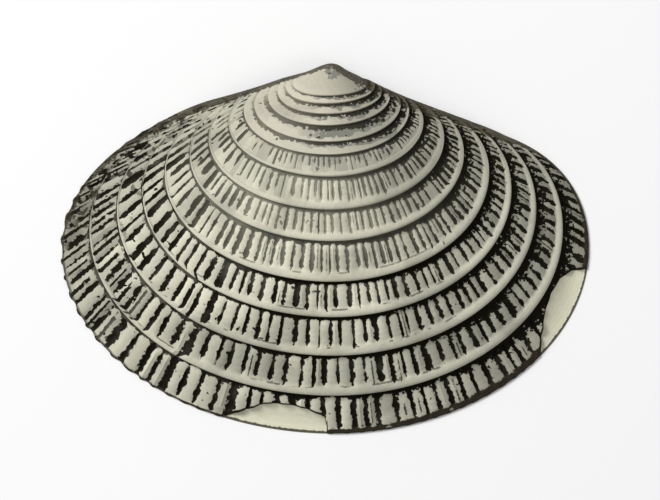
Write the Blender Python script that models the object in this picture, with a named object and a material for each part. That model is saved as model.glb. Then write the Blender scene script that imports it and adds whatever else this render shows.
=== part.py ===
"""One valve of a small ribbed clam, lying convex side up on the flat edge of its margin.

A clam shell grows as a spiral. Each growth line is a copy of the valve's outline, smaller and turned
further about the hinge axis, which runs left to right just under the beak. The outer face is laid down
growth line by growth line from the margin to the beak, with a raised smooth rib at the end of each band
of growth and fine riblets between the ribs. The inner face is a smooth bowl with a narrow hinge plate.

The front of the shell is towards +X, the beak towards +Y and the outer face towards +Z.
"""

import bisect
import math

import bmesh
import bpy
import numpy as np
from mathutils import Matrix, Vector

MM = 0.001
BELOW_BEAK = -0.5 * math.pi
BISECTIONS = 40

# Outline of the full-grown margin, measured from the beak tip at x = 0, y = 0. The long axis of the
# oval lies below the beak. An exponent of 2 is an ellipse, and a larger one has fuller shoulders.
REAR_REACH = 10.3 * MM
FRONT_REACH = 9.7 * MM
LOWER_DEPTH = 7.0 * MM
UPPER_DEPTH = 6.1 * MM
OVAL_MIDDLE = (0.07 * MM, -7.0 * MM)
LOWER_FULLNESS = 1.98
REAR_SHOULDER_FULLNESS = 2.03
FRONT_SHOULDER_FULLNESS = 2.2

# The front of the upper edge is hollowed, and was straighter still while the shell was young.
LUNULE_DEPTH = 0.6 * MM
LUNULE_CENTRE = 5.8 * MM
LUNULE_WIDTH = 3.1 * MM
YOUNG_SLOPE = 3.0 * MM

# The rear of the upper edge is a little fuller.
REAR_RISE = 0.2 * MM
RISE_CENTRE = -4.6 * MM
RISE_WIDTH = 2.2 * MM

# The young shell was shorter at both ends: by how much, from which turn on, and over how many radians.
YOUNG_REAR = (0.24, 0.6, 0.5)
YOUNG_FRONT = (0.15, 1.0, 0.5)

# The spiral. Every radian that a growth line has turned about the hinge axis makes it smaller by a
# factor of e to the power SHRINK_PER_RADIAN.
HINGE_AXIS_Y = -0.18 * MM
SHRINK_PER_RADIAN = 1.67
BEAK_TURN = 2.06
BEAK_LEAN = 0.2 * MM
LEAN_TURNS = 1.5
BEAK_TIP_RINGS = 4
STEEPEST_TURN = 1.5
NORMAL_STEP = 0.004

# Where growth paused, as shares of the way from the beak to the lower margin. The first ones are close
# together on the beak, and riblets only start at RIBLETS_FROM.
GROWTH_LINES = (0.089, 0.113, 0.141, 0.172, 0.216, 0.250, 0.309,
                0.396, 0.479, 0.587, 0.681, 0.784, 0.893, 1.0)
RIBLETS_FROM = 0.250

# Relief of the outer face. In each band a riblet cell rises from the foot of the rib above it to the
# crest of the rib below it.
RIB_HEIGHT = 0.17 * MM
RIBLET_TOP = 0.06 * MM
RIBLET_HEIGHT = 0.12 * MM
FOOT_DEPTH = 0.06 * MM
GROOVE_FOOT_DEPTH = 0.06 * MM
RELIEF_SHARE = 0.03
FLOOR_SHARE = 0.5
HINGE_SIDE_SINE = 0.9
HINGE_SIDE_FADE = 0.4
FOOT_AT = 0.05
RIBLET_END_AT = 0.70
CREST_AT = 0.94
LAST_CREST_HEIGHT = 0.05 * MM

# Riblets are wider behind than in front: their spacing along the margin, counted from below the beak.
RIBLET_SPACING = 0.60 * MM
RIBLET_NARROWING = 0.0092
REAR_RIBLETS = 30
FRONT_RIBLETS = 34
HINGE_SIDE_COLUMNS = 12
OUTLINE_SAMPLES = 1440

# Riblet counts, and how far the riblets push the margin out and in there: more behind than in front.
SCALLOPS = ((-30.0, 0.06 * MM), (-8.0, 0.085 * MM), (4.0, 0.02 * MM), (34.0, 0.012 * MM))

# Columns that become one where the shell needs fewer, among the riblets and on the hinge side.
UMBO_GROUPS = (3, 3)
INSIDE_GROUPS = (2, 1)

# Two flakes are broken from the outer layer at the margin. Each point is a bearing from the beak in
# degrees, towards the front, and how far down the last band of growth the break reaches.
CHIPS = (
    ((-17.6, 1.0), (-14.0, 0.67), (-11.0, 0.39), (-8.0, 0.33), (-5.0, 0.36), (-2.5, 0.48), (-1.0, 0.60),
     (-0.5, 1.0)),
    ((35.5, 1.0), (38.0, 0.63), (41.0, 0.32), (44.0, 0.20), (47.0, 0.26), (49.5, 0.53), (51.5, 1.0)),
)
CHIP_DEPTH = 0.12 * MM
CHIP_STEP = 0.04
CHIPS_BELOW = OVAL_MIDDLE[1] + 0.5 * UPPER_DEPTH

# The inner side: a flat rim that the valve rests on, a shelf for the hinge, and the bowl.
RIM_WIDTH = 0.45 * MM
WALL = 0.65 * MM
WALL_GROWS_OVER = 2.2 * MM
HINGE_PLATE_HALF_LENGTH = 5.0 * MM
HINGE_PLATE_HEIGHT = 0.42 * MM
HINGE_PLATE_FADE = 1.6
BOWL_RINGS = (0.90, 0.76, 0.60, 0.42, 0.22)

# Rings of the hinge plate: their distance from the margin where there is no plate, the same at the
# middle of the plate, and how far they keep to the plate's level.
PLATE_RINGS = (
    (0.65 * MM, 0.62 * MM, 1.0),
    (0.95 * MM, 1.60 * MM, 1.0),
    (1.35 * MM, 1.95 * MM, 0.3),
)

# Hinge teeth as x, y, turn about Z in degrees, length and width, and the slot of the inner ligament.
TEETH = (
    (0.62 * MM, -2.00 * MM, -58.0, 0.95 * MM, 0.30 * MM),
    (-0.05 * MM, -2.00 * MM, 76.0, 0.85 * MM, 0.26 * MM),
    (3.30 * MM, -2.35 * MM, -20.0, 1.50 * MM, 0.30 * MM),
    (-3.70 * MM, -2.20 * MM, 16.0, 1.60 * MM, 0.30 * MM),
)
TOOTH_TIP = 0.06 * MM
TOOTH_TAPER = 0.6
TOOTH_ROOT_COVER = 0.55 * MM
LIGAMENT_SLOT = (-1.30 * MM, -2.02 * MM, 24.0, 1.60 * MM, 0.46 * MM)
LIGAMENT_SLOT_DEPTH = 0.24 * MM

SHELL_COLOUR = (0.50, 0.49, 0.40, 1.0)
SHELL_ROUGHNESS = 0.55


def superellipse(angle, reach, depth, fullness):
    """Point of an oval quarter at the angle, from its middle."""
    power = 2.0 / fullness
    across = math.copysign(abs(math.cos(angle)) ** power, math.cos(angle))
    along = math.copysign(abs(math.sin(angle)) ** power, math.sin(angle))
    return reach * across, depth * along


def ease(value):
    """Smooth step from 0 at 0 to 1 at 1."""
    value = min(max(value, 0.0), 1.0)
    return value * value * (3.0 - 2.0 * value)


def end_share(end, turn):
    """Share of its full length that an end of the shell had when a growth line of this turn was its edge."""
    shorter, start, width = end
    return 1.0 - shorter * ease((turn - start) / width)


def outline(angle, turn=0.0):
    """Point of the growth line before it is scaled and tilted, at an angle from the front end."""
    front = max(math.cos(angle), 0.0)
    upper = max(math.sin(angle), 0.0)
    reach = FRONT_REACH if math.cos(angle) > 0 else REAR_REACH
    if math.sin(angle) > 0:
        fullness = FRONT_SHOULDER_FULLNESS if math.cos(angle) > 0 else REAR_SHOULDER_FULLNESS
        x, y = superellipse(angle, reach, UPPER_DEPTH, fullness)
    else:
        x, y = superellipse(angle, reach, LOWER_DEPTH, LOWER_FULLNESS)
    x += OVAL_MIDDLE[0]
    y += OVAL_MIDDLE[1]
    y -= LUNULE_DEPTH * math.exp(-(((x - LUNULE_CENTRE) / LUNULE_WIDTH) ** 2)) * math.sqrt(upper)
    y += REAR_RISE * math.exp(-(((x - RISE_CENTRE) / RISE_WIDTH) ** 2)) * math.sqrt(upper)
    y -= YOUNG_SLOPE * turn**2 * max(math.cos(turn), 0.0) * upper * front
    end = YOUNG_FRONT if math.cos(angle) > 0 else YOUNG_REAR
    return x * (1.0 - (1.0 - end_share(end, turn)) * abs(math.cos(angle))), y


def smooth_face(angle, turn):
    """Point of the outer face without its relief: the growth line of this turn, scaled and tilted."""
    x, y = outline(angle, turn)
    size = math.exp(-SHRINK_PER_RADIAN * turn)
    below = size * (HINGE_AXIS_Y - y)
    lean = BEAK_LEAN * math.sin(LEAN_TURNS * turn) ** 2
    return Vector((size * x - lean, HINGE_AXIS_Y - below * math.cos(turn), below * math.sin(turn)))


def face_normal(angle, turn):
    """Outward direction of the smooth outer face."""
    along = smooth_face(angle + NORMAL_STEP, turn) - smooth_face(angle - NORMAL_STEP, turn)
    inward = smooth_face(angle, turn + NORMAL_STEP) - smooth_face(angle, turn - NORMAL_STEP)
    return along.cross(inward).normalized()


def turn_of_share(share):
    """Turn of the growth line that crosses the middle at this share of the way down from the beak."""
    full_depth = smooth_face(BELOW_BEAK, 0.0).y
    low, high = 0.0, BEAK_TURN
    for _ in range(BISECTIONS):
        middle = 0.5 * (low + high)
        if smooth_face(BELOW_BEAK, middle).y < share * full_depth:
            low = middle
        else:
            high = middle
    return 0.5 * (low + high)


def margin_arcs():
    """Angles round the outline and their distance along it, from the point below the beak."""
    angles = np.linspace(BELOW_BEAK - math.pi, BELOW_BEAK + math.pi, OUTLINE_SAMPLES + 1)
    points = np.array([outline(angle) for angle in angles])
    lengths = np.concatenate(([0.0], np.cumsum(np.hypot(*np.diff(points, axis=0).T))))
    return angles, lengths - np.interp(BELOW_BEAK, angles, lengths)


def riblet_arc(count):
    """Distance along the margin from the first riblet, below the beak, to the one of this count."""
    return RIBLET_SPACING / RIBLET_NARROWING * (1.0 - math.exp(-RIBLET_NARROWING * count))


def ribbed_columns():
    """Outline angle and riblet count of each column; a column on the hinge side has no count."""
    angles, arcs = margin_arcs()
    counts = np.arange(-REAR_RIBLETS, FRONT_RIBLETS + 0.25, 0.5)
    columns = [(float(np.interp(riblet_arc(count), arcs, angles)), float(count)) for count in counts]
    foremost = columns[-1][0]
    gap = columns[0][0] + 2.0 * math.pi - foremost
    for index in range(1, HINGE_SIDE_COLUMNS + 1):
        columns.append((foremost + gap * index / (HINGE_SIDE_COLUMNS + 1), None))
    return columns


def grouped_columns(group, hinge_group):
    """First column of each run of columns, and the outline angle of the run's middle."""
    columns = ribbed_columns()
    ribbed = sum(count is not None for _, count in columns)
    starts = [*range(0, ribbed, group), *range(ribbed, len(columns), hinge_group)]
    angles = []
    for start, end in zip(starts, starts[1:] + [len(columns)]):
        angles.append(0.5 * (columns[start][0] + columns[end - 1][0]))
    return starts, angles


def raised(angle, turn, height):
    """Point of the outer face with its relief, which is lower towards the hinge axis and the floor."""
    point = smooth_face(angle, turn)
    normal = face_normal(angle, turn)
    limit = RELIEF_SHARE * math.hypot(point.y - HINGE_AXIS_Y, point.z)
    if height * normal.z < 0:
        limit = min(limit, FLOOR_SHARE * point.z / abs(normal.z))
    height *= ease((HINGE_SIDE_SINE - math.sin(angle)) / HINGE_SIDE_FADE)
    return point + normal * max(min(height, limit), -limit)


def groove_share(count):
    """0 on a riblet and 1 in the groove beside it. A column of the hinge side is halfway."""
    return 0.5 if count is None else 0.5 - 0.5 * math.cos(2.0 * math.pi * count)


def chip_lip(angle):
    """How far down the last band the outer layer is whole at this angle: 1 where nothing is broken."""
    x, y = outline(angle)
    if y > CHIPS_BELOW:
        return 1.0
    bearing = math.degrees(math.atan2(x, -y))
    return min(float(np.interp(bearing, *zip(*chip))) for chip in CHIPS)


def close_ring(verts):
    """Pairs of neighbours round a closed ring of vertices."""
    return list(zip(verts, verts[1:] + verts[:1]))


def first_ring(bm, points):
    """Closed ring of edges through the points."""
    ring = bmesh.ops.create_circle(bm, segments=len(points), radius=1.0)["verts"]
    for vert, point in zip(ring, points):
        vert.co = point
    return ring


def next_ring(bm, ring, points):
    """Extrudes a ring to new places, and returns the new ring in the same order."""
    edges = [bm.edges.get(pair) for pair in close_ring(ring)]
    made = {item for item in bmesh.ops.extrude_edge_only(bm, edges=edges)["geom"]
            if isinstance(item, bmesh.types.BMVert)}
    new_ring = []
    for vert, point in zip(ring, points):
        above = next(edge.other_vert(vert) for edge in vert.link_edges if edge.other_vert(vert) in made)
        above.co = point
        new_ring.append(above)
    return new_ring


def gathered_ring(bm, ring, points, starts):
    """Extrudes a ring to fewer points: the vertices from each start to the next one become one vertex."""
    runs = [bisect.bisect_right(starts, index) - 1 for index in range(len(ring))]
    spread = next_ring(bm, ring, [points[run] for run in runs])
    heads = [spread[start] for start in starts]
    gathered = {vert: heads[run] for vert, run in zip(spread, runs) if vert is not heads[run]}
    bmesh.ops.weld_verts(bm, targetmap=gathered)
    return heads


def close_at(bm, ring):
    """Closes a ring with a fan to a point in its middle."""
    middle = sum((vert.co for vert in ring), Vector()) / len(ring)
    fan = next_ring(bm, ring, [middle] * len(ring))
    bmesh.ops.pointmerge(bm, verts=fan, merge_co=middle)


def inset(angle, distance):
    """Point on the base at a distance inside the margin, square to it."""
    outward = face_normal(angle, 0.0)
    outward.z = 0.0
    return smooth_face(angle, 0.0) - outward.normalized() * distance


def margin_ring(columns):
    """The edge of the valve, scalloped by the riblets where nothing is broken."""
    points = []
    for angle, count in columns:
        scallop = 0.0
        if count is not None and chip_lip(angle) == 1.0:
            scallop = float(np.interp(count, *zip(*SCALLOPS))) * (1.0 - 2.0 * groove_share(count))
        points.append(inset(angle, -scallop))
    return points


def band_turn(band, share):
    """Turn at a share of the way down a band of growth, given as the turns of its upper and lower edge."""
    upper, lower = band
    return upper + (lower - upper) * share


def band_rings(columns, band, last):
    """The three rings of one band of growth, from its lower edge up: crest, riblet ends and foot."""
    crest, ends, foot = [], [], []
    crest_height = LAST_CREST_HEIGHT if last else RIB_HEIGHT
    for angle, count in columns:
        groove = groove_share(count)
        lip = chip_lip(angle) if last else 1.0
        end_at = RIBLET_END_AT
        if lip < CREST_AT:
            end_at = lip
            crest.append(raised(angle, band_turn(band, lip + CHIP_STEP), -CHIP_DEPTH))
        else:
            crest.append(raised(angle, band_turn(band, CREST_AT), crest_height))
        ends.append(raised(angle, band_turn(band, end_at), RIBLET_TOP - RIBLET_HEIGHT * groove))
        foot.append(raised(angle, band_turn(band, FOOT_AT), -FOOT_DEPTH - GROOVE_FOOT_DEPTH * groove))
    return crest, ends, foot


def build_outer_face(bm):
    """The outer face from the margin to the beak tip. Returns the ring of the margin."""
    columns = ribbed_columns()
    margin = first_ring(bm, margin_ring(columns))
    turns = [turn_of_share(share) if share < 1.0 else 0.0 for share in GROWTH_LINES]
    bands = list(zip(turns, turns[1:]))
    ribless = GROWTH_LINES.index(RIBLETS_FROM)
    ring = margin
    for band in reversed(bands[ribless:]):
        for points in band_rings(columns, band, band == bands[-1]):
            ring = next_ring(bm, ring, points)

    starts, angles = grouped_columns(*UMBO_GROUPS)
    for band in reversed(bands[:ribless]):
        crest = [raised(angle, band_turn(band, CREST_AT), RIB_HEIGHT) for angle in angles]
        foot = [raised(angle, band_turn(band, FOOT_AT), -FOOT_DEPTH) for angle in angles]
        if len(ring) == len(columns):
            ring = gathered_ring(bm, ring, crest, starts)
        else:
            ring = next_ring(bm, ring, crest)
        ring = next_ring(bm, ring, foot)

    for turn in np.linspace(turns[0], BEAK_TURN, BEAK_TIP_RINGS + 1)[1:]:
        ring = next_ring(bm, ring, [smooth_face(angle, float(turn)) for angle in angles])
    close_at(bm, ring)
    return margin


def outer_height(x, y):
    """Height of the smooth outer face above a place inside the margin."""
    low, high = 0.0, STEEPEST_TURN
    for _ in range(BISECTIONS):
        turn = 0.5 * (low + high)
        size = math.exp(-SHRINK_PER_RADIAN * turn)
        across = x / size - OVAL_MIDDLE[0]
        down = (HINGE_AXIS_Y - y) / (size * math.cos(turn))
        along = HINGE_AXIS_Y - down - OVAL_MIDDLE[1]
        front_reach = FRONT_REACH * end_share(YOUNG_FRONT, turn)
        reach = front_reach if across > 0 else REAR_REACH * end_share(YOUNG_REAR, turn)
        depth = UPPER_DEPTH if along > 0 else LOWER_DEPTH
        inside = (across / reach) ** 2 + (along / depth) ** 2 < 1.0
        low, high = (turn, high) if inside else (low, turn)
    return (HINGE_AXIS_Y - y) * math.tan(low)


def hinge_share(angle):
    """1 at the middle of the hinge plate, 0 beyond its ends."""
    x, y = outline(angle)
    if y < OVAL_MIDDLE[1]:
        return 0.0
    return ease(HINGE_PLATE_FADE * (1.0 - abs(x) / HINGE_PLATE_HALF_LENGTH))


def bowl_height(point, edge_distance):
    """Height of the inner face: a wall under the outer face that thickens away from the margin."""
    top = outer_height(point.x, point.y)
    grown = ease(edge_distance / WALL_GROWS_OVER)
    rim_wall = outer_height(*inset(BELOW_BEAK, RIM_WIDTH).xy)
    return max(top - (rim_wall + (WALL - rim_wall) * grown), 0.0)


def build_inner_face(bm, margin):
    """The flat rim, the hinge plate and the bowl, inwards from the margin."""
    starts, angles = grouped_columns(*INSIDE_GROUPS)
    ring = gathered_ring(bm, margin, [inset(angle, RIM_WIDTH) for angle in angles], starts)

    for open_width, plate_width, plate_share in PLATE_RINGS:
        points = []
        for angle in angles:
            share = hinge_share(angle)
            width = open_width + (plate_width - open_width) * share
            point = inset(angle, width)
            height = bowl_height(point, width)
            point.z = height + (HINGE_PLATE_HEIGHT - height) * share * plate_share
            points.append(point)
        ring = next_ring(bm, ring, points)

    centre = Vector((*OVAL_MIDDLE, 0.0))
    edge = [Vector((vert.co.x, vert.co.y, 0.0)) for vert in ring]
    for share in BOWL_RINGS:
        points = []
        for start in edge:
            point = centre.lerp(start, share)
            point.z = bowl_height(point, PLATE_RINGS[-1][0] + (start - point).length)
            points.append(point)
        ring = next_ring(bm, ring, points)
    close_at(bm, ring)


def wedge(bm, plan, low, high, taper):
    """Long block with narrowed lower edges, from one height to another.

    The plan is its place, its turn in degrees, its length and its width. Its length narrows half as much.
    """
    x, y, turn, length, width = plan
    verts = bmesh.ops.create_cube(bm, size=1.0)["verts"]
    for vert in verts:
        narrow = taper if vert.co.z < 0 else 1.0
        vert.co.x *= length * 0.5 * (1.0 + narrow)
        vert.co.y *= width * narrow
        vert.co.z = low if vert.co.z < 0 else high
    around = Matrix.Rotation(math.radians(turn), 3, "Z")
    bmesh.ops.rotate(bm, verts=verts, cent=Vector(), matrix=around)
    bmesh.ops.translate(bm, verts=verts, vec=Vector((x, y, 0.0)))


def shell_material():
    """Warm grey shell, half glossy."""
    material = bpy.data.materials.new("shell")
    material.use_nodes = True
    surface = material.node_tree.nodes["Principled BSDF"]
    surface.inputs["Base Color"].default_value = SHELL_COLOUR
    surface.inputs["Roughness"].default_value = SHELL_ROUGHNESS
    surface.inputs["Metallic"].default_value = 0.0
    return material


def new_object(name, bm):
    """Object made from a bmesh, linked to the scene."""
    mesh = bpy.data.meshes.new(name)
    bm.to_mesh(mesh)
    bm.free()
    obj = bpy.data.objects.new(name, mesh)
    bpy.context.scene.collection.objects.link(obj)
    return obj


def build_valve():
    """The whole valve as one closed mesh."""
    bm = bmesh.new()
    margin = build_outer_face(bm)
    build_inner_face(bm, margin)
    bmesh.ops.triangulate(bm, faces=bm.faces)
    bmesh.ops.recalc_face_normals(bm, faces=bm.faces)
    valve = new_object("valve", bm)
    valve.data.materials.append(shell_material())
    return valve


def build_helper(name, bm):
    """Shape that only a Boolean reads."""
    helper = new_object(name, bm)
    helper.hide_render = True
    helper.display_type = "WIRE"
    return helper


def build_teeth():
    """The hinge teeth, rooted in the hinge plate."""
    bm = bmesh.new()
    for tooth in TEETH:
        root = outer_height(tooth[0], tooth[1]) - TOOTH_ROOT_COVER
        wedge(bm, tooth, TOOTH_TIP, root, TOOTH_TAPER)
    return build_helper("hinge_teeth", bm)


def build_ligament_slot():
    """Cutter for the slanting pit that held the inner ligament."""
    bm = bmesh.new()
    wedge(bm, LIGAMENT_SLOT, -HINGE_PLATE_HEIGHT, HINGE_PLATE_HEIGHT + LIGAMENT_SLOT_DEPTH, 1.0)
    return build_helper("ligament_slot", bm)


def add_boolean(obj, other, operation):
    """Exact Boolean with another object."""
    boolean = obj.modifiers.new(other.name, "BOOLEAN")
    boolean.operation = operation
    boolean.object = other
    boolean.solver = "EXACT"


def centre_on_base(valve, others):
    """Moves everything so that the middle of the valve's base is at the origin."""
    places = np.array([vert.co for vert in valve.data.vertices])
    low, high = places.min(axis=0), places.max(axis=0)
    shift = -0.5 * (low + high)
    for obj in (valve, *others):
        obj.location = (float(shift[0]), float(shift[1]), 0.0)


def main():
    for obj in list(bpy.data.objects):
        bpy.data.objects.remove(obj, do_unlink=True)
    valve = build_valve()
    slot = build_ligament_slot()
    teeth = build_teeth()
    add_boolean(valve, slot, "DIFFERENCE")
    add_boolean(valve, teeth, "UNION")
    centre_on_base(valve, (slot, teeth))


if __name__ == "__main__":
    main()
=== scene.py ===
"""Looks of a small ribbed clam valve that lies convex side up on the edge of its margin.

The outer face follows the way the shell grew: each growth line is a smaller copy of the margin, turned
further about the hinge axis. Bands of growth end in a smooth raised rib, and between the ribs stand fine
riblets with dark deposit and painted shade in their grooves, and a painted shadow in the gap under each
rib; painted light and shade also lighten and darken the shell's tone. The inner face is a smooth bowl
with a hinge plate.
"""

import bisect
import logging
import math
from dataclasses import dataclass, field
from enum import Enum

import bmesh
import bpy
import numpy as np
from mathutils import Matrix, Vector


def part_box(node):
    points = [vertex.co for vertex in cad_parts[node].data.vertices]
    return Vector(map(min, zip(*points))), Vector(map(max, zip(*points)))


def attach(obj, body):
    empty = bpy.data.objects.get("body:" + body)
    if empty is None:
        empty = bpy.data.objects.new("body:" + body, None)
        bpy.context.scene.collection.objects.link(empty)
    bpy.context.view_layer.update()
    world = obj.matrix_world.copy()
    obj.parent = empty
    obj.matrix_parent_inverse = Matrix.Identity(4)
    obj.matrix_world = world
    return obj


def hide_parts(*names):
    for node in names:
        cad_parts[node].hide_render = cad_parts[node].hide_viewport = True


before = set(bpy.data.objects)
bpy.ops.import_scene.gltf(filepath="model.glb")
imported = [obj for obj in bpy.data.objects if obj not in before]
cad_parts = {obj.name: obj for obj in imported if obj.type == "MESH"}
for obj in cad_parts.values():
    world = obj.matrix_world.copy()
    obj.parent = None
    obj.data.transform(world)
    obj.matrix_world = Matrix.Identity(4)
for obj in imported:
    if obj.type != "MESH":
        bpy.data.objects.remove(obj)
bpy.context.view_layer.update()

MM = 0.001
BELOW_BEAK = -0.5 * math.pi
BUMP_DEPTH = 0.02 * MM
LOG = logging.getLogger("valve")


class Face(Enum):
    """Sides of the valve, each with its own finish."""

    OUTER = 0
    INNER = 1


def ease(value: np.ndarray) -> np.ndarray:
    """Smooth step from 0 at 0 to 1 at 1."""
    value = np.clip(value, 0.0, 1.0)
    return value * value * (3.0 - 2.0 * value)


def bent(value: np.ndarray, places: tuple[np.ndarray, np.ndarray],
         results: tuple[np.ndarray, np.ndarray]) -> np.ndarray:
    """Straight stretches from 0 at 0, through two results at two places, to 1 at 1.

    Args:
        value: Where to read them.
        places: The two places, which may differ from column to column.
        results: What the stretches give there.

    Returns:
        The results at the values.
    """
    (low, high), (first, second) = places, results
    middle = first + (value - low) / (high - low) * (second - first)
    upper = second + (value - high) / (1.0 - high) * (1.0 - second)
    return np.where(value < low, value / low * first, np.where(value < high, middle, upper))


def run_middles(starts: list[int], columns: int) -> list[int]:
    """Middle column of each run of columns."""
    return [(start + end - 1) // 2 for start, end in zip(starts, starts[1:] + [columns])]


@dataclass(frozen=True)
class Outline:
    """Edge of the full-grown valve, measured from the beak tip."""

    rear_reach: float = 10.3 * MM
    front_reach: float = 9.7 * MM
    lower_depth: float = 7.0 * MM
    upper_depth: float = 6.1 * MM
    middle: tuple[float, float] = (0.07 * MM, -7.0 * MM)
    lower_fullness: float = 1.98
    rear_shoulder_fullness: float = 2.03
    front_shoulder_fullness: float = 2.2
    lunule_depth: float = 0.6 * MM
    lunule_centre: float = 5.8 * MM
    lunule_width: float = 3.1 * MM
    rear_rise: float = 0.2 * MM
    rise_centre: float = -4.6 * MM
    rise_width: float = 2.2 * MM
    young_slope: float = 3.0 * MM
    young_rear: tuple[float, float, float] = (0.24, 0.6, 0.5)
    young_front: tuple[float, float, float] = (0.15, 1.0, 0.5)

    def shortening(self, front: np.ndarray, turn: np.ndarray) -> np.ndarray:
        """Share by which an end of the valve was shorter while it was young."""
        shorter, start, width = (np.where(front, *pair) for pair in zip(self.young_front, self.young_rear))
        return shorter * ease((turn - start) / width)

    def point(self, angle: np.ndarray, turn: np.ndarray) -> tuple[np.ndarray, np.ndarray]:
        """Place on the growth line before it is scaled and tilted.

        Args:
            angle: Direction from the oval's middle, 0 at the front end, in radians.
            turn: How far the growth line has turned about the hinge axis, in radians.

        Returns:
            The x and y of the points.
        """
        across, along = np.cos(angle), np.sin(angle)
        front = across > 0
        reach = np.where(front, self.front_reach, self.rear_reach)
        depth = np.where(along > 0, self.upper_depth, self.lower_depth)
        shoulder = np.where(front, self.front_shoulder_fullness, self.rear_shoulder_fullness)
        power = 2.0 / np.where(along > 0, shoulder, self.lower_fullness)
        upper = np.maximum(along, 0.0)
        x = self.middle[0] + reach * np.sign(across) * np.abs(across) ** power
        y = self.middle[1] + depth * np.sign(along) * np.abs(along) ** power
        hollow = np.exp(-(((x - self.lunule_centre) / self.lunule_width) ** 2))
        rise = np.exp(-(((x - self.rise_centre) / self.rise_width) ** 2))
        y = y + (self.rear_rise * rise - self.lunule_depth * hollow) * np.sqrt(upper)
        slope = turn**2 * np.maximum(np.cos(turn), 0.0) * upper * np.maximum(across, 0.0)
        return x * (1.0 - self.shortening(front, turn) * np.abs(across)), y - self.young_slope * slope


@dataclass(frozen=True)
class Spiral:
    """The growth of the valve about its hinge axis."""

    outline: Outline = Outline()
    axis_y: float = -0.18 * MM
    shrink: float = 1.67
    beak_turn: float = 2.06
    lean: float = 0.2 * MM
    lean_turns: float = 1.5
    difference: float = 0.004
    furthest_turn: float = 0.75 * math.pi
    turn_samples: int = 4000
    steepest_turn: float = 1.5
    halvings: int = 30

    def face(self, angle: np.ndarray, turn: np.ndarray) -> np.ndarray:
        """Points of the outer face without its relief.

        Args:
            angle: Outline angle of each point, in radians.
            turn: Turn of its growth line about the hinge axis, in radians.

        Returns:
            One row of x, y and z for each point.
        """
        x, y = self.outline.point(angle, turn)
        size = np.exp(-self.shrink * turn)
        below = size * (self.axis_y - y)
        lean = self.lean * np.sin(self.lean_turns * turn) ** 2
        return np.stack([size * x - lean, self.axis_y - below * np.cos(turn), below * np.sin(turn)], axis=-1)

    def normal(self, angle: np.ndarray, turn: np.ndarray) -> np.ndarray:
        """Outward directions of the smooth outer face.

        Args:
            angle: Outline angle of each point.
            turn: Turn of its growth line.

        Returns:
            One unit vector for each point.
        """
        step = self.difference
        along = self.face(angle + step, turn) - self.face(angle - step, turn)
        inward = self.face(angle, turn + step) - self.face(angle, turn - step)
        normal = np.cross(along, inward)
        return normal / np.linalg.norm(normal, axis=-1, keepdims=True)

    def turn_of_share(self, share: float) -> float:
        """Turn of the growth line that crosses the middle at a share of the way down.

        Args:
            share: Share of the way from the beak to the margin.

        Returns:
            The turn, in radians.
        """
        if share >= 1.0:
            return 0.0
        turns = np.linspace(0.0, self.furthest_turn, self.turn_samples)
        angles = np.full_like(turns, BELOW_BEAK)
        depth = self.face(angles, turns)[:, 1] / self.face(angles, 0.0 * turns)[0, 1]
        return float(turns[np.argmax(depth < share)])

    def height_over(self, x: np.ndarray, y: np.ndarray) -> np.ndarray:
        """Heights of the smooth outer face over places inside the margin.

        Args:
            x: How far each place is in front of the beak.
            y: How far it is above the beak.

        Returns:
            The heights, found by halving the turns between the margin and the steepest growth line.
        """
        low, high = np.zeros_like(x), np.full_like(x, self.steepest_turn)
        for _ in range(self.halvings):
            turn = 0.5 * (low + high)
            size = np.exp(-self.shrink * turn)
            across = x / size - self.outline.middle[0]
            along = self.axis_y - (self.axis_y - y) / (size * np.cos(turn)) - self.outline.middle[1]
            reach = np.where(across > 0, self.outline.front_reach, self.outline.rear_reach)
            reach = reach * (1.0 - self.outline.shortening(across > 0, turn))
            depth = np.where(along > 0, self.outline.upper_depth, self.outline.lower_depth)
            inside = (across / reach) ** 2 + (along / depth) ** 2 < 1.0
            low, high = np.where(inside, turn, low), np.where(inside, high, turn)
        return (self.axis_y - y) * np.tan(low)

    def inset(self, angle: np.ndarray, distance: np.ndarray) -> np.ndarray:
        """Points on the base at a distance inside the margin, square to it.

        Args:
            angle: Outline angle of each point.
            distance: How far inside the margin each point lies.

        Returns:
            One row of x, y and z for each point.
        """
        flat = np.zeros_like(angle)
        outward = self.normal(angle, flat)
        outward[:, 2] = 0.0
        outward /= np.linalg.norm(outward, axis=-1, keepdims=True)
        return self.face(angle, flat) - outward * np.reshape(distance, (-1, 1))


@dataclass(frozen=True)
class GrooveHabit:
    """How irregular the grooves are; each pair is the least and the most, in shares of a riblet or a band."""

    strength: tuple[float, float] = (0.75, 1.15)
    beside_missing: float = 0.9
    wander: float = 0.09
    leaning: float = 0.12
    half: tuple[float, float] = (0.13, 0.27)
    half_behind: tuple[float, float] = (0.85, 1.25)
    start: tuple[float, float] = (0.02, 0.16)
    end: tuple[float, float] = (0.77, 0.86)
    short_at_start: float = 0.2
    short_at_end: float = 0.7
    hairy_behind: int = 16
    hair_behind: float = 0.72
    hair_elsewhere: float = 0.12
    stray: float = 0.4
    stray_waves: tuple[tuple[float, float], ...] = ((3.7, 0.10), (6.3, 0.14))
    stray_fade: float = 3.0


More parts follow.
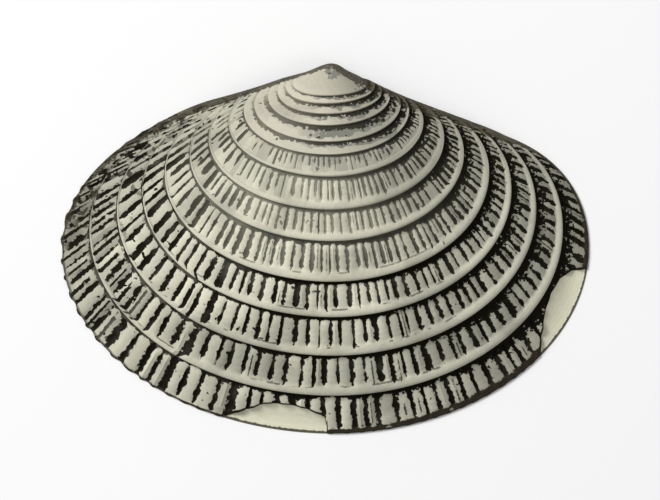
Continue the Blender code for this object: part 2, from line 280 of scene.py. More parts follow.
@dataclass(frozen=True)
class Grooves:
    """The grooves of one band of growth: each one's middle, half width, strength, start and end."""

    middle: np.ndarray
    half: np.ndarray
    strength: np.ndarray
    start: np.ndarray
    end: np.ndarray
    hair: np.ndarray
    stray: np.ndarray

    @staticmethod
    def drawn(count: int, behind: int, seed: int, missing: float, short: float,
              onward: tuple[float, float], habit: GrooveHabit = GrooveHabit()) -> "Grooves":
        """Draws the irregular grooves of a band.

        Args:
            count: Number of grooves.
            behind: How many of them, counted from the rear, end elsewhere than the others.
            seed: Seed of the band.
            missing: Share of the grooves that are not there.
            short: How much of the band the grooves leave free at their ends, from 0 to 1.
            onward: Least and most by which those behind run on past the usual end.
            habit: How irregular they are.

        Returns:
            The grooves, in order from the rear to the front.
        """
        rng = np.random.default_rng(seed)
        strength = np.where(rng.random(count) < missing, 0.0, rng.uniform(*habit.strength, count))
        gone = strength == 0.0
        strength[1:][gone[1:] & gone[:-1]] = habit.beside_missing
        gone = strength == 0.0
        middle = 0.5 + rng.uniform(-habit.wander, habit.wander, count)
        middle[:-1] += habit.leaning * gone[1:]
        middle[1:] -= habit.leaning * gone[:-1]
        half = rng.uniform(*habit.half, count)
        start = rng.uniform(*habit.start, count) + habit.short_at_start * short * rng.random(count)
        end = rng.uniform(*habit.end, count) - habit.short_at_end * short * rng.random(count)
        end[:behind] += rng.uniform(*onward, behind)
        half[:behind] *= rng.uniform(*habit.half_behind, behind)
        chance = np.where(np.arange(count + 1) < habit.hairy_behind, habit.hair_behind, habit.hair_elsewhere)
        hair = (rng.random(count + 1) < chance).astype(float)
        place = np.arange(count)
        near_end = ease(np.minimum(place, count - 1 - place) / habit.stray_fade)
        stray = rng.uniform(-habit.stray, habit.stray)
        for wave, reach in habit.stray_waves:
            stray = stray + reach * np.sin(2.0 * math.pi * (place / wave + rng.random()))
        return Grooves(middle, half, strength, start, end, hair, stray * near_end)


@dataclass(frozen=True)
class Riblets:
    """Where the riblets stand round the margin, counted from below the beak towards the front."""

    spiral: Spiral = Spiral()
    spacing: float = 0.60 * MM
    narrowing: float = 0.0092
    rear: int = 30
    front: int = 34
    hinge_columns: int = 56
    phases: tuple[float, ...] = (0.0, 0.20, 0.32, 0.41, 0.50, 0.59, 0.68, 0.80)
    samples: int = 1440
    floor_share: float = 0.45
    side_share: float = 0.625

    @property
    def intervals(self) -> int:
        """Number of grooves from the rearmost to the foremost riblet."""
        return self.rear + self.front

    @property
    def ribbed(self) -> int:
        """Number of mesh columns among the riblets."""
        return self.intervals * len(self.phases)

    def marks(self) -> np.ndarray:
        """Riblet count of every column: a whole number is a riblet's middle, a half is a groove's."""
        counts = np.arange(-self.rear, self.front)[:, None] + np.array(self.phases)[None, :]
        beyond = self.front + np.linspace(0.0, 1.0, self.hinge_columns, endpoint=False)
        return np.concatenate([counts.ravel(), beyond])

    def warped(self, grooves: Grooves) -> np.ndarray:
        """Real riblet count of the ribbed columns, moved to the walls of a band's grooves.

        Args:
            grooves: Grooves of the band.

        Returns:
            One count for each ribbed column.
        """
        low, high = grooves.middle - grooves.half, grooves.middle + grooves.half
        floor = self.floor_share * grooves.half
        places = [0.0 * low, self.side_share * low, low, grooves.middle - floor, grooves.middle,
                  grooves.middle + floor, high, high + (1.0 - self.side_share) * (1.0 - high)]
        counts = (np.arange(self.intervals)[:, None] + np.stack(places, axis=1)).ravel()
        return counts - self.rear + np.interp(counts, np.arange(self.intervals), grooves.stray)

    def angles(self, counts: np.ndarray) -> np.ndarray:
        """Outline angles of the ribbed columns with these counts, and of the hinge side's columns.

        Args:
            counts: Real riblet count of each ribbed column.

        Returns:
            One angle for each column of the mesh, rising round the outline.
        """
        around = np.linspace(-1.5 * math.pi, 0.5 * math.pi, self.samples + 1)
        x, y = self.spiral.outline.point(around, np.zeros_like(around))
        arcs = np.concatenate([[0.0], np.cumsum(np.hypot(np.diff(x), np.diff(y)))])
        arcs -= np.interp(BELOW_BEAK, around, arcs)
        ends = np.append(counts, self.front)
        wanted = self.spacing / self.narrowing * (1.0 - np.exp(-self.narrowing * ends))
        ribbed = np.interp(wanted, arcs, around)
        gap = ribbed[0] + 2.0 * math.pi - ribbed[-1]
        hinge = ribbed[-1] + gap * np.arange(self.hinge_columns) / self.hinge_columns
        return np.concatenate([ribbed[:-1], hinge])

    def share(self, counts: tuple[float, ...], values: tuple[float, ...]) -> np.ndarray:
        """A value given at some riblet counts, for every column, blended across the hinge side.

        Args:
            counts: Riblet counts, rising.
            values: The value at each of them.

        Returns:
            The value at each column.
        """
        marks = self.marks()
        along = np.interp(marks, counts, values)
        beyond = np.arange(self.hinge_columns) / self.hinge_columns
        along[self.ribbed:] = values[-1] + (values[0] - values[-1]) * beyond
        return along


@dataclass(frozen=True)
class Flake:
    """A flake broken from the outer layer: bearings from the beak in degrees, and shares of the last band."""

    bearings: tuple[float, ...]
    lips: tuple[float, ...]

    def lip(self, bearing: np.ndarray) -> np.ndarray:
        """How far down the last band the outer layer is whole: 1 where nothing is broken."""
        return np.interp(bearing, self.bearings, self.lips)


@dataclass(frozen=True)
class Relief:
    """Heights of the outer face over its smooth form, along a band of growth and across a riblet.

    A band runs from 0, under the rib above it, to 1, the lower edge of its own rib. The deposit and the
    painted shadow of the rib above in the gap end at gap_end, and the riblets end at riblet_end.
    """

    gap_end: float = 0.20
    riblet_end: float = 0.75
    stages: tuple[float, ...] = (0.0, 0.05, 0.12, 0.20, 0.27, 0.38, 0.49, 0.60, 0.68, 0.75, 0.80, 0.86, 0.92,
                                 0.96, 0.985)
    umbo_stages: tuple[float, ...] = (0.0, 0.10, 0.20, 0.35, 0.60, 0.86, 0.96)
    profile: tuple[tuple[float, float], ...] = (
        (0.0, -0.05), (0.10, -0.06), (0.20, -0.02), (0.30, 0.02), (0.75, 0.055), (0.79, 0.12),
        (0.85, 0.155), (0.95, 0.165), (0.985, 0.125), (1.0, -0.05))
    crown: float = 0.045 * MM
    crown_half: float = 0.36
    groove_depth: float = 0.085 * MM
    groove_half: float = 0.20
    groove_wall: float = 0.12
    full_rib_share: float = 0.25
    rib_power: float = 0.8
    highest_rib: float = 1.1
    last_height: float = 0.05 * MM
    share_of_distance: float = 0.03
    floor_share: float = 0.5
    hinge_side_sine: float = 0.94
    hinge_side_fade: float = 0.3

    def across(self, phase: np.ndarray) -> np.ndarray:
        """Crown of the riblet, less the groove beside it.

        Args:
            phase: Fraction of the riblet count.

        Returns:
            The height at each column.
        """
        from_groove = np.abs(phase - 0.5)
        crown = self.crown * np.cos(math.pi * np.clip((0.5 - from_groove) / self.crown_half, 0.0, 0.5))
        return crown - self.groove_depth * ease((self.groove_half - from_groove) / self.groove_wall)

    def along(self, stage: np.ndarray, rib_share: np.ndarray) -> np.ndarray:
        """Height of the band's profile, with a lower rib where the rib is narrow.

        Args:
            stage: Stage of each column in the band.
            rib_share: Share of the band that the rib takes there.

        Returns:
            The height at each column.
        """
        stages, heights = zip(*self.profile)
        height = np.interp(stage, stages, heights) * MM
        rib = np.minimum((rib_share / self.full_rib_share) ** self.rib_power, self.highest_rib)
        return np.where(height > 0, height * rib, height)


@dataclass
class Row:
    """One ring of points with its marks, which the finishes read. A mark is 0 where none is given."""

    points: np.ndarray
    riblet: np.ndarray
    growth: np.ndarray
    ink: np.ndarray | float = 0.0
    edge: np.ndarray | float = 0.0
    groove: np.ndarray | float = 0.0
    hair: np.ndarray | float = 0.0
    flake: np.ndarray | float = 0.0

    def mark(self, name: str) -> np.ndarray:
        """A mark of every point."""
        return np.broadcast_to(getattr(self, name), len(self.points))

    def thinned(self, starts: list[int]) -> "Row":
        """The row at the middle of each run of columns."""
        middles = run_middles(starts, len(self.points))
        return Row(self.points[middles], **{name: self.mark(name)[middles] for name in RingMesh.MARKS})


class RingMesh:
    """A mesh that grows ring by ring from a closed outline."""

    MARKS = ("riblet", "growth", "groove", "hair", "flake", "ink", "edge")

    def __init__(self) -> None:
        """Starts an empty mesh with a layer for each mark."""
        self.bm = bmesh.new()
        self.bm.verts.layers.float.new("strip")
        self.layers = [self.bm.verts.layers.float.new(name) for name in self.MARKS]
        self.ring: list[bmesh.types.BMVert] = []

    def place(self, row: Row) -> None:
        """Moves the present ring to a row and marks it.

        Args:
            row: Points and marks, in the ring's order.
        """
        for index, vert in enumerate(self.ring):
            vert.co = row.points[index]
        for name, layer in zip(self.MARKS, self.layers):
            for vert, value in zip(self.ring, row.mark(name).tolist()):
                vert[layer] = value

    def start(self, row: Row) -> None:
        """Makes the first ring."""
        self.ring = bmesh.ops.create_circle(self.bm, segments=len(row.points), radius=1.0)["verts"]
        self.place(row)

    def extruded(self) -> list[bmesh.types.BMVert]:
        """Extrudes the present ring in place, and returns the new one in the same order."""
        following = self.ring[1:] + self.ring[:1]
        edges = [self.bm.edges.get(pair) for pair in zip(self.ring, following)]
        geom = bmesh.ops.extrude_edge_only(self.bm, edges=edges)["geom"]
        made = {item for item in geom if isinstance(item, bmesh.types.BMVert)}
        beside = ([edge.other_vert(vert) for edge in vert.link_edges] for vert in self.ring)
        return [next(other for other in others if other in made) for others in beside]

    def extend(self, row: Row) -> None:
        """Extrudes the present ring to a row."""
        self.ring = self.extruded()
        self.place(row)

    def gather(self, row: Row, starts: list[int]) -> None:
        """Extrudes the present ring to a thinner row: the columns of each run become one.

        Args:
            row: The thinner row.
            starts: First column of each run.
        """
        runs = [bisect.bisect_right(starts, index) - 1 for index in range(len(self.ring))]
        spread = self.extruded()
        heads = [spread[start] for start in starts]
        targets = {vert: heads[run] for vert, run in zip(spread, runs) if vert is not heads[run]}
        bmesh.ops.weld_verts(self.bm, targetmap=targets)
        self.ring = heads
        self.place(row)

    def close(self) -> None:
        """Closes the present ring with a fan to a point in its middle."""
        middle = sum((vert.co for vert in self.ring), Vector()) / len(self.ring)
        fan = self.extruded()
        bmesh.ops.pointmerge(self.bm, verts=fan, merge_co=middle)


def new_object(name: str, bm: bmesh.types.BMesh) -> bpy.types.Object:
    """Makes a finished mesh an object of the scene, and frees it."""
    data = bpy.data.meshes.new(name)
    bm.to_mesh(data)
    bm.free()
    made = bpy.data.objects.new(name, data)
    bpy.context.scene.collection.objects.link(made)
    return made


@dataclass
class Valve:
    """The whole valve: ribbed outer face, flat rim, hinge plate and bowl."""

    name: str = "ribbed_valve"
    node: str = "valve"
    spiral: Spiral = field(default_factory=Spiral)
    riblets: Riblets = field(default_factory=Riblets)
    relief: Relief = field(default_factory=Relief)
    growth_lines: tuple[float, ...] = (0.089, 0.113, 0.141, 0.172, 0.216, 0.250, 0.309,
                                       0.396, 0.479, 0.587, 0.681, 0.784, 0.893, 1.0)
    first_ribbed: int = 6
    missing: tuple[float, ...] = (0.10, 0.06, 0.04, 0.0, 0.0, 0.0, 0.0, 0.0)
    shortened: tuple[float, ...] = (0.50, 0.16, 0.06, 0.05, 0.05, 0.05, 0.06, 0.03)
    seed: int = 11
    rear_grooves: int = 20
    rear_onward: tuple[tuple[float, float], ...] = (
        (-0.14, 0.02), (-0.12, 0.04), (-0.08, 0.08), (-0.02, 0.20), *4 * ((0.0, 0.30),))
    riblet_fade: float = 1.5
    behind_from: float = -4.0
    behind_fade: float = 12.0
    opening: tuple[float, float] = (0.06, 0.20)
    closing: tuple[float, float] = (0.10, 0.18)
    flakes: tuple[Flake, ...] = (
        Flake((-17.6, -14.0, -11.0, -8.0, -5.0, -2.5, -1.0, -0.5),
              (1.0, 0.67, 0.39, 0.33, 0.36, 0.48, 0.60, 1.0)),
        Flake((35.5, 38.0, 41.0, 44.0, 47.0, 49.5, 51.5), (1.0, 0.63, 0.32, 0.20, 0.26, 0.53, 1.0)))
    hinge_side_sine: float = 0.5
    flake_depth: float = 0.12 * MM
    flake_step: float = 0.04
    flake_row: int = 9
    whole_lip: float = 0.97
    lip_mark: float = 0.15
    last_width: float = 1.5 * MM
    last_growth: float = 0.999
    last_stages: tuple[float, ...] = (0.0, 0.03, 0.07, 0.12, 0.19, 0.28, 0.38, 0.48, 0.58, 0.68, 0.77, 0.85,
                                      0.91, 0.95, 0.98)
    tip_rings: int = 7
    scallop_counts: tuple[float, ...] = (-30.0, -20.0, -12.0, -4.0, 34.0)
    scallops: tuple[float, ...] = (0.06, 0.07, 0.045, 0.02, 0.012)
    scallop_fade: float = 0.3
    side_counts: tuple[float, ...] = (-25.0, -18.0, -12.0, 0.0, 8.0, 16.0, 24.0, 33.0)
    rib_shares: tuple[float, ...] = (0.03, 0.08, 0.15, 0.23, 0.24, 0.24, 0.23, 0.22)
    # Share of each band taken by the gap under the rib above, painted dark as its shadow and deposit, wider
    # to the front.
    gap_shares: tuple[float, ...] = (0.08, 0.09, 0.11, 0.13, 0.17, 0.30, 0.48, 0.52)
    umbo_gap_shares: tuple[float, ...] = (0.32, 0.33, 0.33, 0.30, 0.42, 0.68, 0.78, 0.78)
    last_gap_shares: tuple[float, ...] = (0.07, 0.08, 0.09, 0.14, 0.20, 0.38, 0.52, 0.40)
    edge_shares: tuple[float, ...] = (0.03, 0.03, 0.04, 0.13, 0.14, 0.14, 0.14, 0.10)
    # Darkness of the deposit and painted shade at these riblet counts, on the umbo and on the ribbed bands;
    # later bands darken to full.
    ink_counts: tuple[float, ...] = (-28.0, -15.0, -8.0, 4.0, 14.0, 24.0)
    umbo_inks: tuple[float, ...] = (0.72, 0.72, 0.72, 0.80, 0.92, 1.0)
    ribbed_inks: tuple[float, ...] = (1.0, 0.74, 0.55, 0.50, 0.82, 1.0)
    pale_until: float = 8.5
    pale_fade: float = 2.5
    strip_bins: int = 180
    strip_places: tuple[float, ...] = (-9.5, -7.0, -4.6, -3.4, -2.0, -0.9, -0.1, 0.7, 6.5, 9.0)
    strip_narrowing: tuple[float, ...] = (1.8, 1.0, 1.0, 1.15, 1.7, 1.9, 1.4, 0.8, 1.0, 3.5)
    umbo_relief: float = 0.6
    umbo_rib_share: float = 0.16
    umbo_group: int = 4
    umbo_hinge_group: int = 3
    inside_group: int = 4
    rim_width: float = 0.45 * MM
    wall: float = 0.65 * MM
    wall_grows_over: float = 2.2 * MM
    plate_half_length: float = 5.0 * MM
    plate_height: float = 0.42 * MM
    plate_end: float = 1.6
    plate_rings: tuple[tuple[float, float, float], ...] = (
        (0.45, 0.45, 0.0), (0.52, 0.50, 0.75), (0.58, 0.55, 1.0), (0.65, 0.70, 1.0), (0.72, 0.90, 1.0),
        (0.80, 1.10, 1.0), (0.88, 1.30, 1.0), (0.95, 1.48, 1.0), (1.02, 1.60, 1.0), (1.10, 1.70, 0.92),
        (1.20, 1.80, 0.70), (1.32, 1.90, 0.42), (1.45, 2.05, 0.18), (1.62, 2.25, 0.0))
    bowl_rings: int = 26
    pit_place: tuple[float, float] = (-1.30 * MM, -2.02 * MM)
    pit_turn: float = math.radians(24.0)
    pit_size: tuple[float, float] = (0.80 * MM, 0.26 * MM)
    pit_depth: float = 0.24 * MM
    pit_edge: float = 1.15
    pit_slope: float = 0.45
    sharp_angle: float = math.radians(50.0)

    def __post_init__(self) -> None:
        """Works out the growth lines' turns, and draws the grooves and the columns of every ribbed band."""
        self.turns = [self.spiral.turn_of_share(share) for share in self.growth_lines]
        self.last = len(self.turns) - 1
        self.grooves: dict[int, Grooves] = {}
        habits = zip(self.missing, self.shortened, self.rear_onward)
        for band, (missing, short, onward) in enumerate(habits, self.first_ribbed):
            self.grooves[band] = Grooves.drawn(
                self.riblets.intervals, self.rear_grooves, self.seed + band, missing, short, onward)
        self.marks = self.riblets.marks()
        self.rib_share = self.share(self.rib_shares)

    def share(self, values: tuple[float, ...]) -> np.ndarray:
        """A share of the band given at the side counts, for every column of the mesh."""
        return self.riblets.share(self.side_counts, values)

    def columns(self, band: int) -> np.ndarray:
        """Outline angle of every column of a ribbed band."""
        return self.riblets.angles(self.riblets.warped(self.grooves[band]))

    def raised(self, angle: np.ndarray, turn: np.ndarray, height: np.ndarray) -> np.ndarray:
        """Points at a height over the smooth face, less towards the hinge axis and the floor.

        Args:
            angle: Outline angle of each point.
            turn: Turn of its growth line.
            height: Its wanted height over the smooth face.

        Returns:
            One row of x, y and z for each point.
        """
        point = self.spiral.face(angle, turn)
        normal = self.spiral.normal(angle, turn)
        relief = self.relief
        limit = relief.share_of_distance * np.hypot(point[:, 1] - self.spiral.axis_y, point[:, 2])
        room = relief.floor_share * np.maximum(point[:, 2], 0.0) / np.maximum(np.abs(normal[:, 2]), 1e-6)
        limit = np.where(height * normal[:, 2] < 0, np.minimum(limit, room), limit)
        height = height * ease((relief.hinge_side_sine - np.sin(angle)) / relief.hinge_side_fade)
        return point + normal * np.clip(height, -limit, limit)[:, None]

    def stage_turn(self, band: int, stage: np.ndarray, gap: np.ndarray, rib: np.ndarray) -> np.ndarray:
        """Turn at a stage of a band.

        Args:
            band: Number of the band.
            stage: Stage of each column in it.
            gap: Share of the band that the gap takes there.
            rib: Share of the band that the rib takes there.

        Returns:
            The turn of each column.
        """
        share = bent(stage, (self.relief.gap_end, self.relief.riblet_end), (gap, 1.0 - rib))
        upper, lower = self.turns[band - 1], self.turns[band]
        return upper + (lower - upper) * share

    def per_column(self, values: np.ndarray) -> np.ndarray:
        """A value of each groove, for every column of the mesh."""
        ribbed = np.repeat(values, len(self.riblets.phases))
        return np.concatenate([ribbed, np.zeros(self.riblets.hinge_columns)])

    def groove_marks(self, band: int, stage: np.ndarray) -> tuple[np.ndarray, np.ndarray]:
        """Marks of the grooves and of the hair lines that split riblets.

        Args:
            band: Number of the band.
            stage: Stage of each column in it.

        Returns:
            How open each column's groove is, and 1 where a hair line may run.
        """
        grooves, marks, fade = self.grooves[band], self.marks, self.riblet_fade
        ends = ease((marks + self.riblets.rear) / fade) * ease((self.riblets.front - marks) / fade)
        behind = ease((self.behind_from - marks) / self.behind_fade)
        opening, closing = (near + further * behind for near, further in (self.opening, self.closing))
        opened = ease((stage - self.per_column(grooves.start)) / opening)
        closed = ease((self.per_column(grooves.end) - stage) / closing)
        groove = self.per_column(grooves.strength) * opened * closed * ends
        nearest = np.clip(np.round(self.marks).astype(int) + self.riblets.rear, 0, self.riblets.intervals)
        return groove, grooves.hair[nearest] * ends

    def ink(self, band: float) -> np.ndarray:
        """How dark the deposit and painted shade are: darkest towards both ends, paler over the upper middle
        of the valve, and behind on the umbo.

        Args:
            band: Number of the band, with the stage in it.

        Returns:
            The darkness at each column, from 0 to 1.
        """
        if band < self.first_ribbed:
            return self.riblets.share(self.ink_counts, self.umbo_inks)
        young = self.riblets.share(self.ink_counts, self.ribbed_inks)
        return young + (1.0 - young) * ease((band - self.pale_until) / self.pale_fade)

    def ribbed_row(self, band: int, stage: float) -> Row:
        """Row of a ribbed band above the last one.

        Args:
            band: Number of the band.
            stage: Stage of the row in it.

        Returns:
            The row.
        """
        relief = self.relief
        counts = self.riblets.warped(self.grooves[band])
        onward = max(stage - relief.riblet_end, 0.0) / (1.0 - relief.riblet_end)
        counts = counts + onward * (self.riblets.warped(self.grooves[band + 1]) - counts)
        angle = self.riblets.angles(counts)
        stages = np.full_like(angle, stage)
        turn = self.stage_turn(band, stages, self.share(self.gap_shares), self.rib_share)
        groove, hair = self.groove_marks(band, stages)
        size = np.exp(-self.spiral.shrink * turn)
        height = relief.along(stages, self.rib_share) + relief.across(self.marks % 1.0) * groove * size
        return Row(self.raised(angle, turn, height), self.marks, stages + band, self.ink(band + stage), 1.0,
                   groove, hair)

    def lips(self, angle: np.ndarray) -> np.ndarray:
        """How far down the last band the outer layer is whole.

        Args:
            angle: Outline angle of each column.

        Returns:
            The share of the band above the break, or 1 where nothing is broken.
        """
        x, y = self.spiral.outline.point(angle, np.zeros_like(angle))
        bearing = np.degrees(np.arctan2(x, -y))
        lip = np.minimum.reduce([flake.lip(bearing) for flake in self.flakes])
        return np.where(np.sin(angle) > self.hinge_side_sine, 1.0, lip)

    def last_row(self, index: int) -> Row:
        """Row of the last band, which follows the lips of the broken flakes.

        Args:
            index: Number of the row, counted down the band; the row after the last stage is the edge itself.

        Returns:
            The row.
        """
        relief, flake_row = self.relief, self.flake_row
        angle = self.columns(self.last)
        lip = self.lips(angle)
        broken = lip < self.whole_lip
        places = (*self.last_stages, 1.0)
        place, edge, beyond = places[index], places[flake_row], places[flake_row + 1]
        step = np.minimum(lip + self.flake_step, 0.5 * (1.0 + lip))
        lower = step + (1.0 - step) * (place - beyond) / (1.0 - beyond)
        share = np.where(broken, place / edge * lip if index <= flake_row else lower, place)
        gap, rib = self.share(self.last_gap_shares), self.share(self.edge_shares)
        stage = bent(share, (gap, 1.0 - rib), (relief.gap_end, relief.riblet_end))
        groove, hair = self.groove_marks(self.last, stage)
        height = np.minimum(relief.along(stage, self.rib_share), relief.last_height)
        height = height + relief.across(self.marks % 1.0) * groove
        scar = broken & (index > flake_row)
        height = np.where(scar, -self.flake_depth, height)
        flake = np.where(scar, 1.0, np.where(broken & (index == flake_row), self.lip_mark, 0.0))
        points = self.raised(angle, self.turns[self.last - 1] * (1.0 - share), height)
        growth = np.minimum(stage, self.last_growth) + self.last
        edge_mark = (1.0 - share) * self.last_width / MM
        return Row(points, self.marks, growth, self.ink(self.last + 1.0), edge_mark,
                   np.where(scar, 0.0, groove), hair, flake)

    def margin_row(self) -> Row:
        """The edge of the valve, scalloped by the riblets behind."""
        row = self.last_row(len(self.last_stages))
        angle = self.columns(self.last)
        depth = self.riblets.share(self.scallop_counts, self.scallops) * MM * (1.0 - row.flake)
        wave = np.cos(2.0 * math.pi * self.marks)
        wave = np.sign(wave) * np.sqrt(np.abs(wave))
        wave = wave * ease((self.hinge_side_sine - np.sin(angle)) / self.scallop_fade)
        row.points = self.spiral.inset(angle, -depth * wave)
        return row

    def umbo_row(self, band: int, stage: float) -> Row:
        """Row of a band above the riblets, or of the beak tip where the band is 0.

        Args:
            band: Number of the band.
            stage: Stage of the row in it.

        Returns:
            The row.
        """
        angle = self.columns(self.first_ribbed)
        stages = np.full_like(angle, stage)
        if band == 0:
            turn = self.spiral.beak_turn + (self.turns[0] - self.spiral.beak_turn) * stages
            height = np.zeros_like(angle)
        else:
            rib = np.full_like(angle, self.umbo_rib_share)
            turn = self.stage_turn(band, stages, self.share(self.umbo_gap_shares), rib)
            height = self.umbo_relief * self.relief.along(stages, rib)
        return Row(self.raised(angle, turn, height), self.marks, stages + band, self.ink(band), 1.0)

    def runs(self, group: int, hinge_group: int) -> list[int]:
        """First column of each run of columns that become one."""
        ribbed = self.riblets.ribbed
        return [*range(0, ribbed, group), *range(ribbed, len(self.marks), hinge_group)]

    def build_outer(self, mesh: RingMesh) -> list[bmesh.types.BMVert]:
        """Lays down the outer face from the margin to the beak tip.

        Args:
            mesh: Mesh to build in.

        Returns:
            The ring of the margin.
        """
        mesh.start(self.margin_row())
        margin = mesh.ring
        for index in range(len(self.last_stages) - 1, -1, -1):
            mesh.extend(self.last_row(index))
        for band in range(self.last - 1, self.first_ribbed - 1, -1):
            for stage in reversed(self.relief.stages):
                mesh.extend(self.ribbed_row(band, stage))
        starts = self.runs(self.umbo_group, self.umbo_hinge_group)
        umbo_bands = range(self.first_ribbed - 1, 0, -1)
        places = [(band, stage) for band in umbo_bands for stage in reversed(self.relief.umbo_stages)]
        places += [(0, float(stage)) for stage in np.linspace(1.0, 0.0, self.tip_rings + 1)[1:]]
        rows = [self.umbo_row(band, stage).thinned(starts) for band, stage in places]
        mesh.gather(rows[0], starts)
        for row in rows[1:]:
            mesh.extend(row)
        mesh.close()
        return margin

    def plate_share(self, angle: np.ndarray) -> np.ndarray:
        """1 at the middle of the hinge plate, 0 beyond its ends."""
        x, y = self.spiral.outline.point(angle, np.zeros_like(angle))
        return np.where(y < self.spiral.outline.middle[1], 0.0,
                        ease(self.plate_end * (1.0 - np.abs(x) / self.plate_half_length)))

    def bowl_height(self, point: np.ndarray, edge_distance: np.ndarray) -> np.ndarray:
        """Height of the inner face: a wall under the outer face that thickens away from the margin.

        Args:
            point: Places inside the margin, one row each.
            edge_distance: How far inside the margin they lie.

        Returns:
            The heights.
        """
        top = self.spiral.height_over(point[:, 0], point[:, 1])
        below = self.spiral.inset(np.array([BELOW_BEAK]), np.array([self.rim_width]))
        rim_wall = float(self.spiral.height_over(below[:, 0], below[:, 1])[0])
        grown = ease(edge_distance / self.wall_grows_over)
        return np.maximum(top - (rim_wall + (self.wall - rim_wall) * grown), 0.0)

    def pit(self, point: np.ndarray) -> np.ndarray:
        """Depth of the slanting ligament pit in the hinge plate.

        Args:
            point: Places inside the margin, one row each.

        Returns:
            The depths.
        """
        x, y = point[:, 0] - self.pit_place[0], point[:, 1] - self.pit_place[1]
        along = x * math.cos(self.pit_turn) + y * math.sin(self.pit_turn)
        across = y * math.cos(self.pit_turn) - x * math.sin(self.pit_turn)
        distance = np.hypot(along / self.pit_size[0], across / self.pit_size[1])
        return self.pit_depth * ease((self.pit_edge - distance) / self.pit_slope)

    def inside_row(self, point: np.ndarray, marks: np.ndarray, depth: float) -> Row:
        """Row of the inner face; its growth mark is the distance from the margin in millimetres."""
        return Row(point, marks, np.full(len(point), depth / MM))

    def build_inner(self, mesh: RingMesh, margin: list[bmesh.types.BMVert]) -> None:
        """Lays down the flat rim, the hinge plate and the bowl.

        Args:
            mesh: Mesh to build in.
            margin: Ring of the margin.
        """
        starts = self.runs(self.inside_group, 1)
        middles = run_middles(starts, len(self.marks))
        angle, marks = self.columns(self.last)[middles], self.marks[middles]
        mesh.ring = margin
        rim = self.spiral.inset(angle, np.full_like(angle, self.rim_width))
        mesh.gather(self.inside_row(rim, marks, self.rim_width), starts)
        share = self.plate_share(angle)
        for open_width, plate_width, level in self.plate_rings[1:]:
            width = (open_width + (plate_width - open_width) * share) * MM
            point = self.spiral.inset(angle, width)
            height = self.bowl_height(point, width)
            height = height + (self.plate_height - height) * share * level
            point[:, 2] = height + self.pit(point) * share
            mesh.extend(self.inside_row(point, marks, float(width.min())))
        centre = np.array([*self.spiral.outline.middle, 0.0])
        start = point * np.array([1.0, 1.0, 0.0])
        for ring in range(1, self.bowl_rings):
            inward = ring / self.bowl_rings
            point = start + (centre - start) * inward
            distance = self.plate_rings[-1][0] * MM + np.linalg.norm(start - point, axis=1)
            point[:, 2] = self.bowl_height(point, distance)
            mesh.extend(self.inside_row(point, marks, float(distance.mean())))
        mesh.close()

    def mark_strip(self, bm: bmesh.types.BMesh) -> None:
        """Marks how far inside the upper edge of the plan outline each point lies, in millimetres.

        Args:
            bm: Mesh whose points have a strip layer.
        """
        places = np.array([vert.co for vert in bm.verts])
        bins = np.linspace(places[:, 0].min(), places[:, 0].max(), self.strip_bins + 1)
        inside = np.clip(np.digitize(places[:, 0], bins) - 1, 0, self.strip_bins - 1)
        top = np.full(self.strip_bins, places[:, 1].min())
        np.maximum.at(top, inside, places[:, 1])
        middles = 0.5 * (bins[1:] + bins[:-1])
        slope = np.interp(places[:, 0], middles, np.gradient(top, middles))
        distance = (np.interp(places[:, 0], middles, top) - places[:, 1]) / np.hypot(1.0, slope) / MM
        distance *= np.interp(places[:, 0] / MM, self.strip_places, self.strip_narrowing)
        layer = bm.verts.layers.float["strip"]
        for vert, value in zip(bm.verts, distance.tolist()):
            vert[layer] = value

    def build(self) -> bpy.types.Object:
        """Builds the valve as one closed mesh whose box is centred over the CAD node's.

        Returns:
            The valve, riding on its body in place of the CAD node.
        """
        mesh = RingMesh()
        margin = self.build_outer(mesh)
        outer = set(mesh.bm.faces)
        self.build_inner(mesh, margin)
        for face in mesh.bm.faces:
            face.smooth = True
            face.material_index = Face.OUTER.value if face in outer else Face.INNER.value
        bmesh.ops.recalc_face_normals(mesh.bm, faces=mesh.bm.faces)
        self.mark_strip(mesh.bm)
        places = np.array([vert.co for vert in mesh.bm.verts])
        low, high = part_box(self.node)
        shift = 0.5 * (low + high) - Vector(0.5 * (places.min(axis=0) + places.max(axis=0)))
        shift.z = 0.0
        bmesh.ops.translate(mesh.bm, verts=mesh.bm.verts, vec=shift)
        valve = new_object(self.name, mesh.bm)
        valve.data.set_sharp_from_angle(angle=self.sharp_angle)
        self.shift = shift
        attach(valve, "root")
        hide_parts(self.node)
        return valve

    def dress(self, valve: bpy.types.Object, outer: "OuterFinish", inner: "InnerFinish") -> None:
        """Gives the two sides of the valve their finishes."""
        for finish in (outer, inner):
            valve.data.materials.append(finish.material())


@dataclass(frozen=True)
class Tooth:
    """One tooth of the hinge: its place, its turn in degrees, its length and its width."""

    x: float
    y: float
    turn: float
    length: float
    width: float


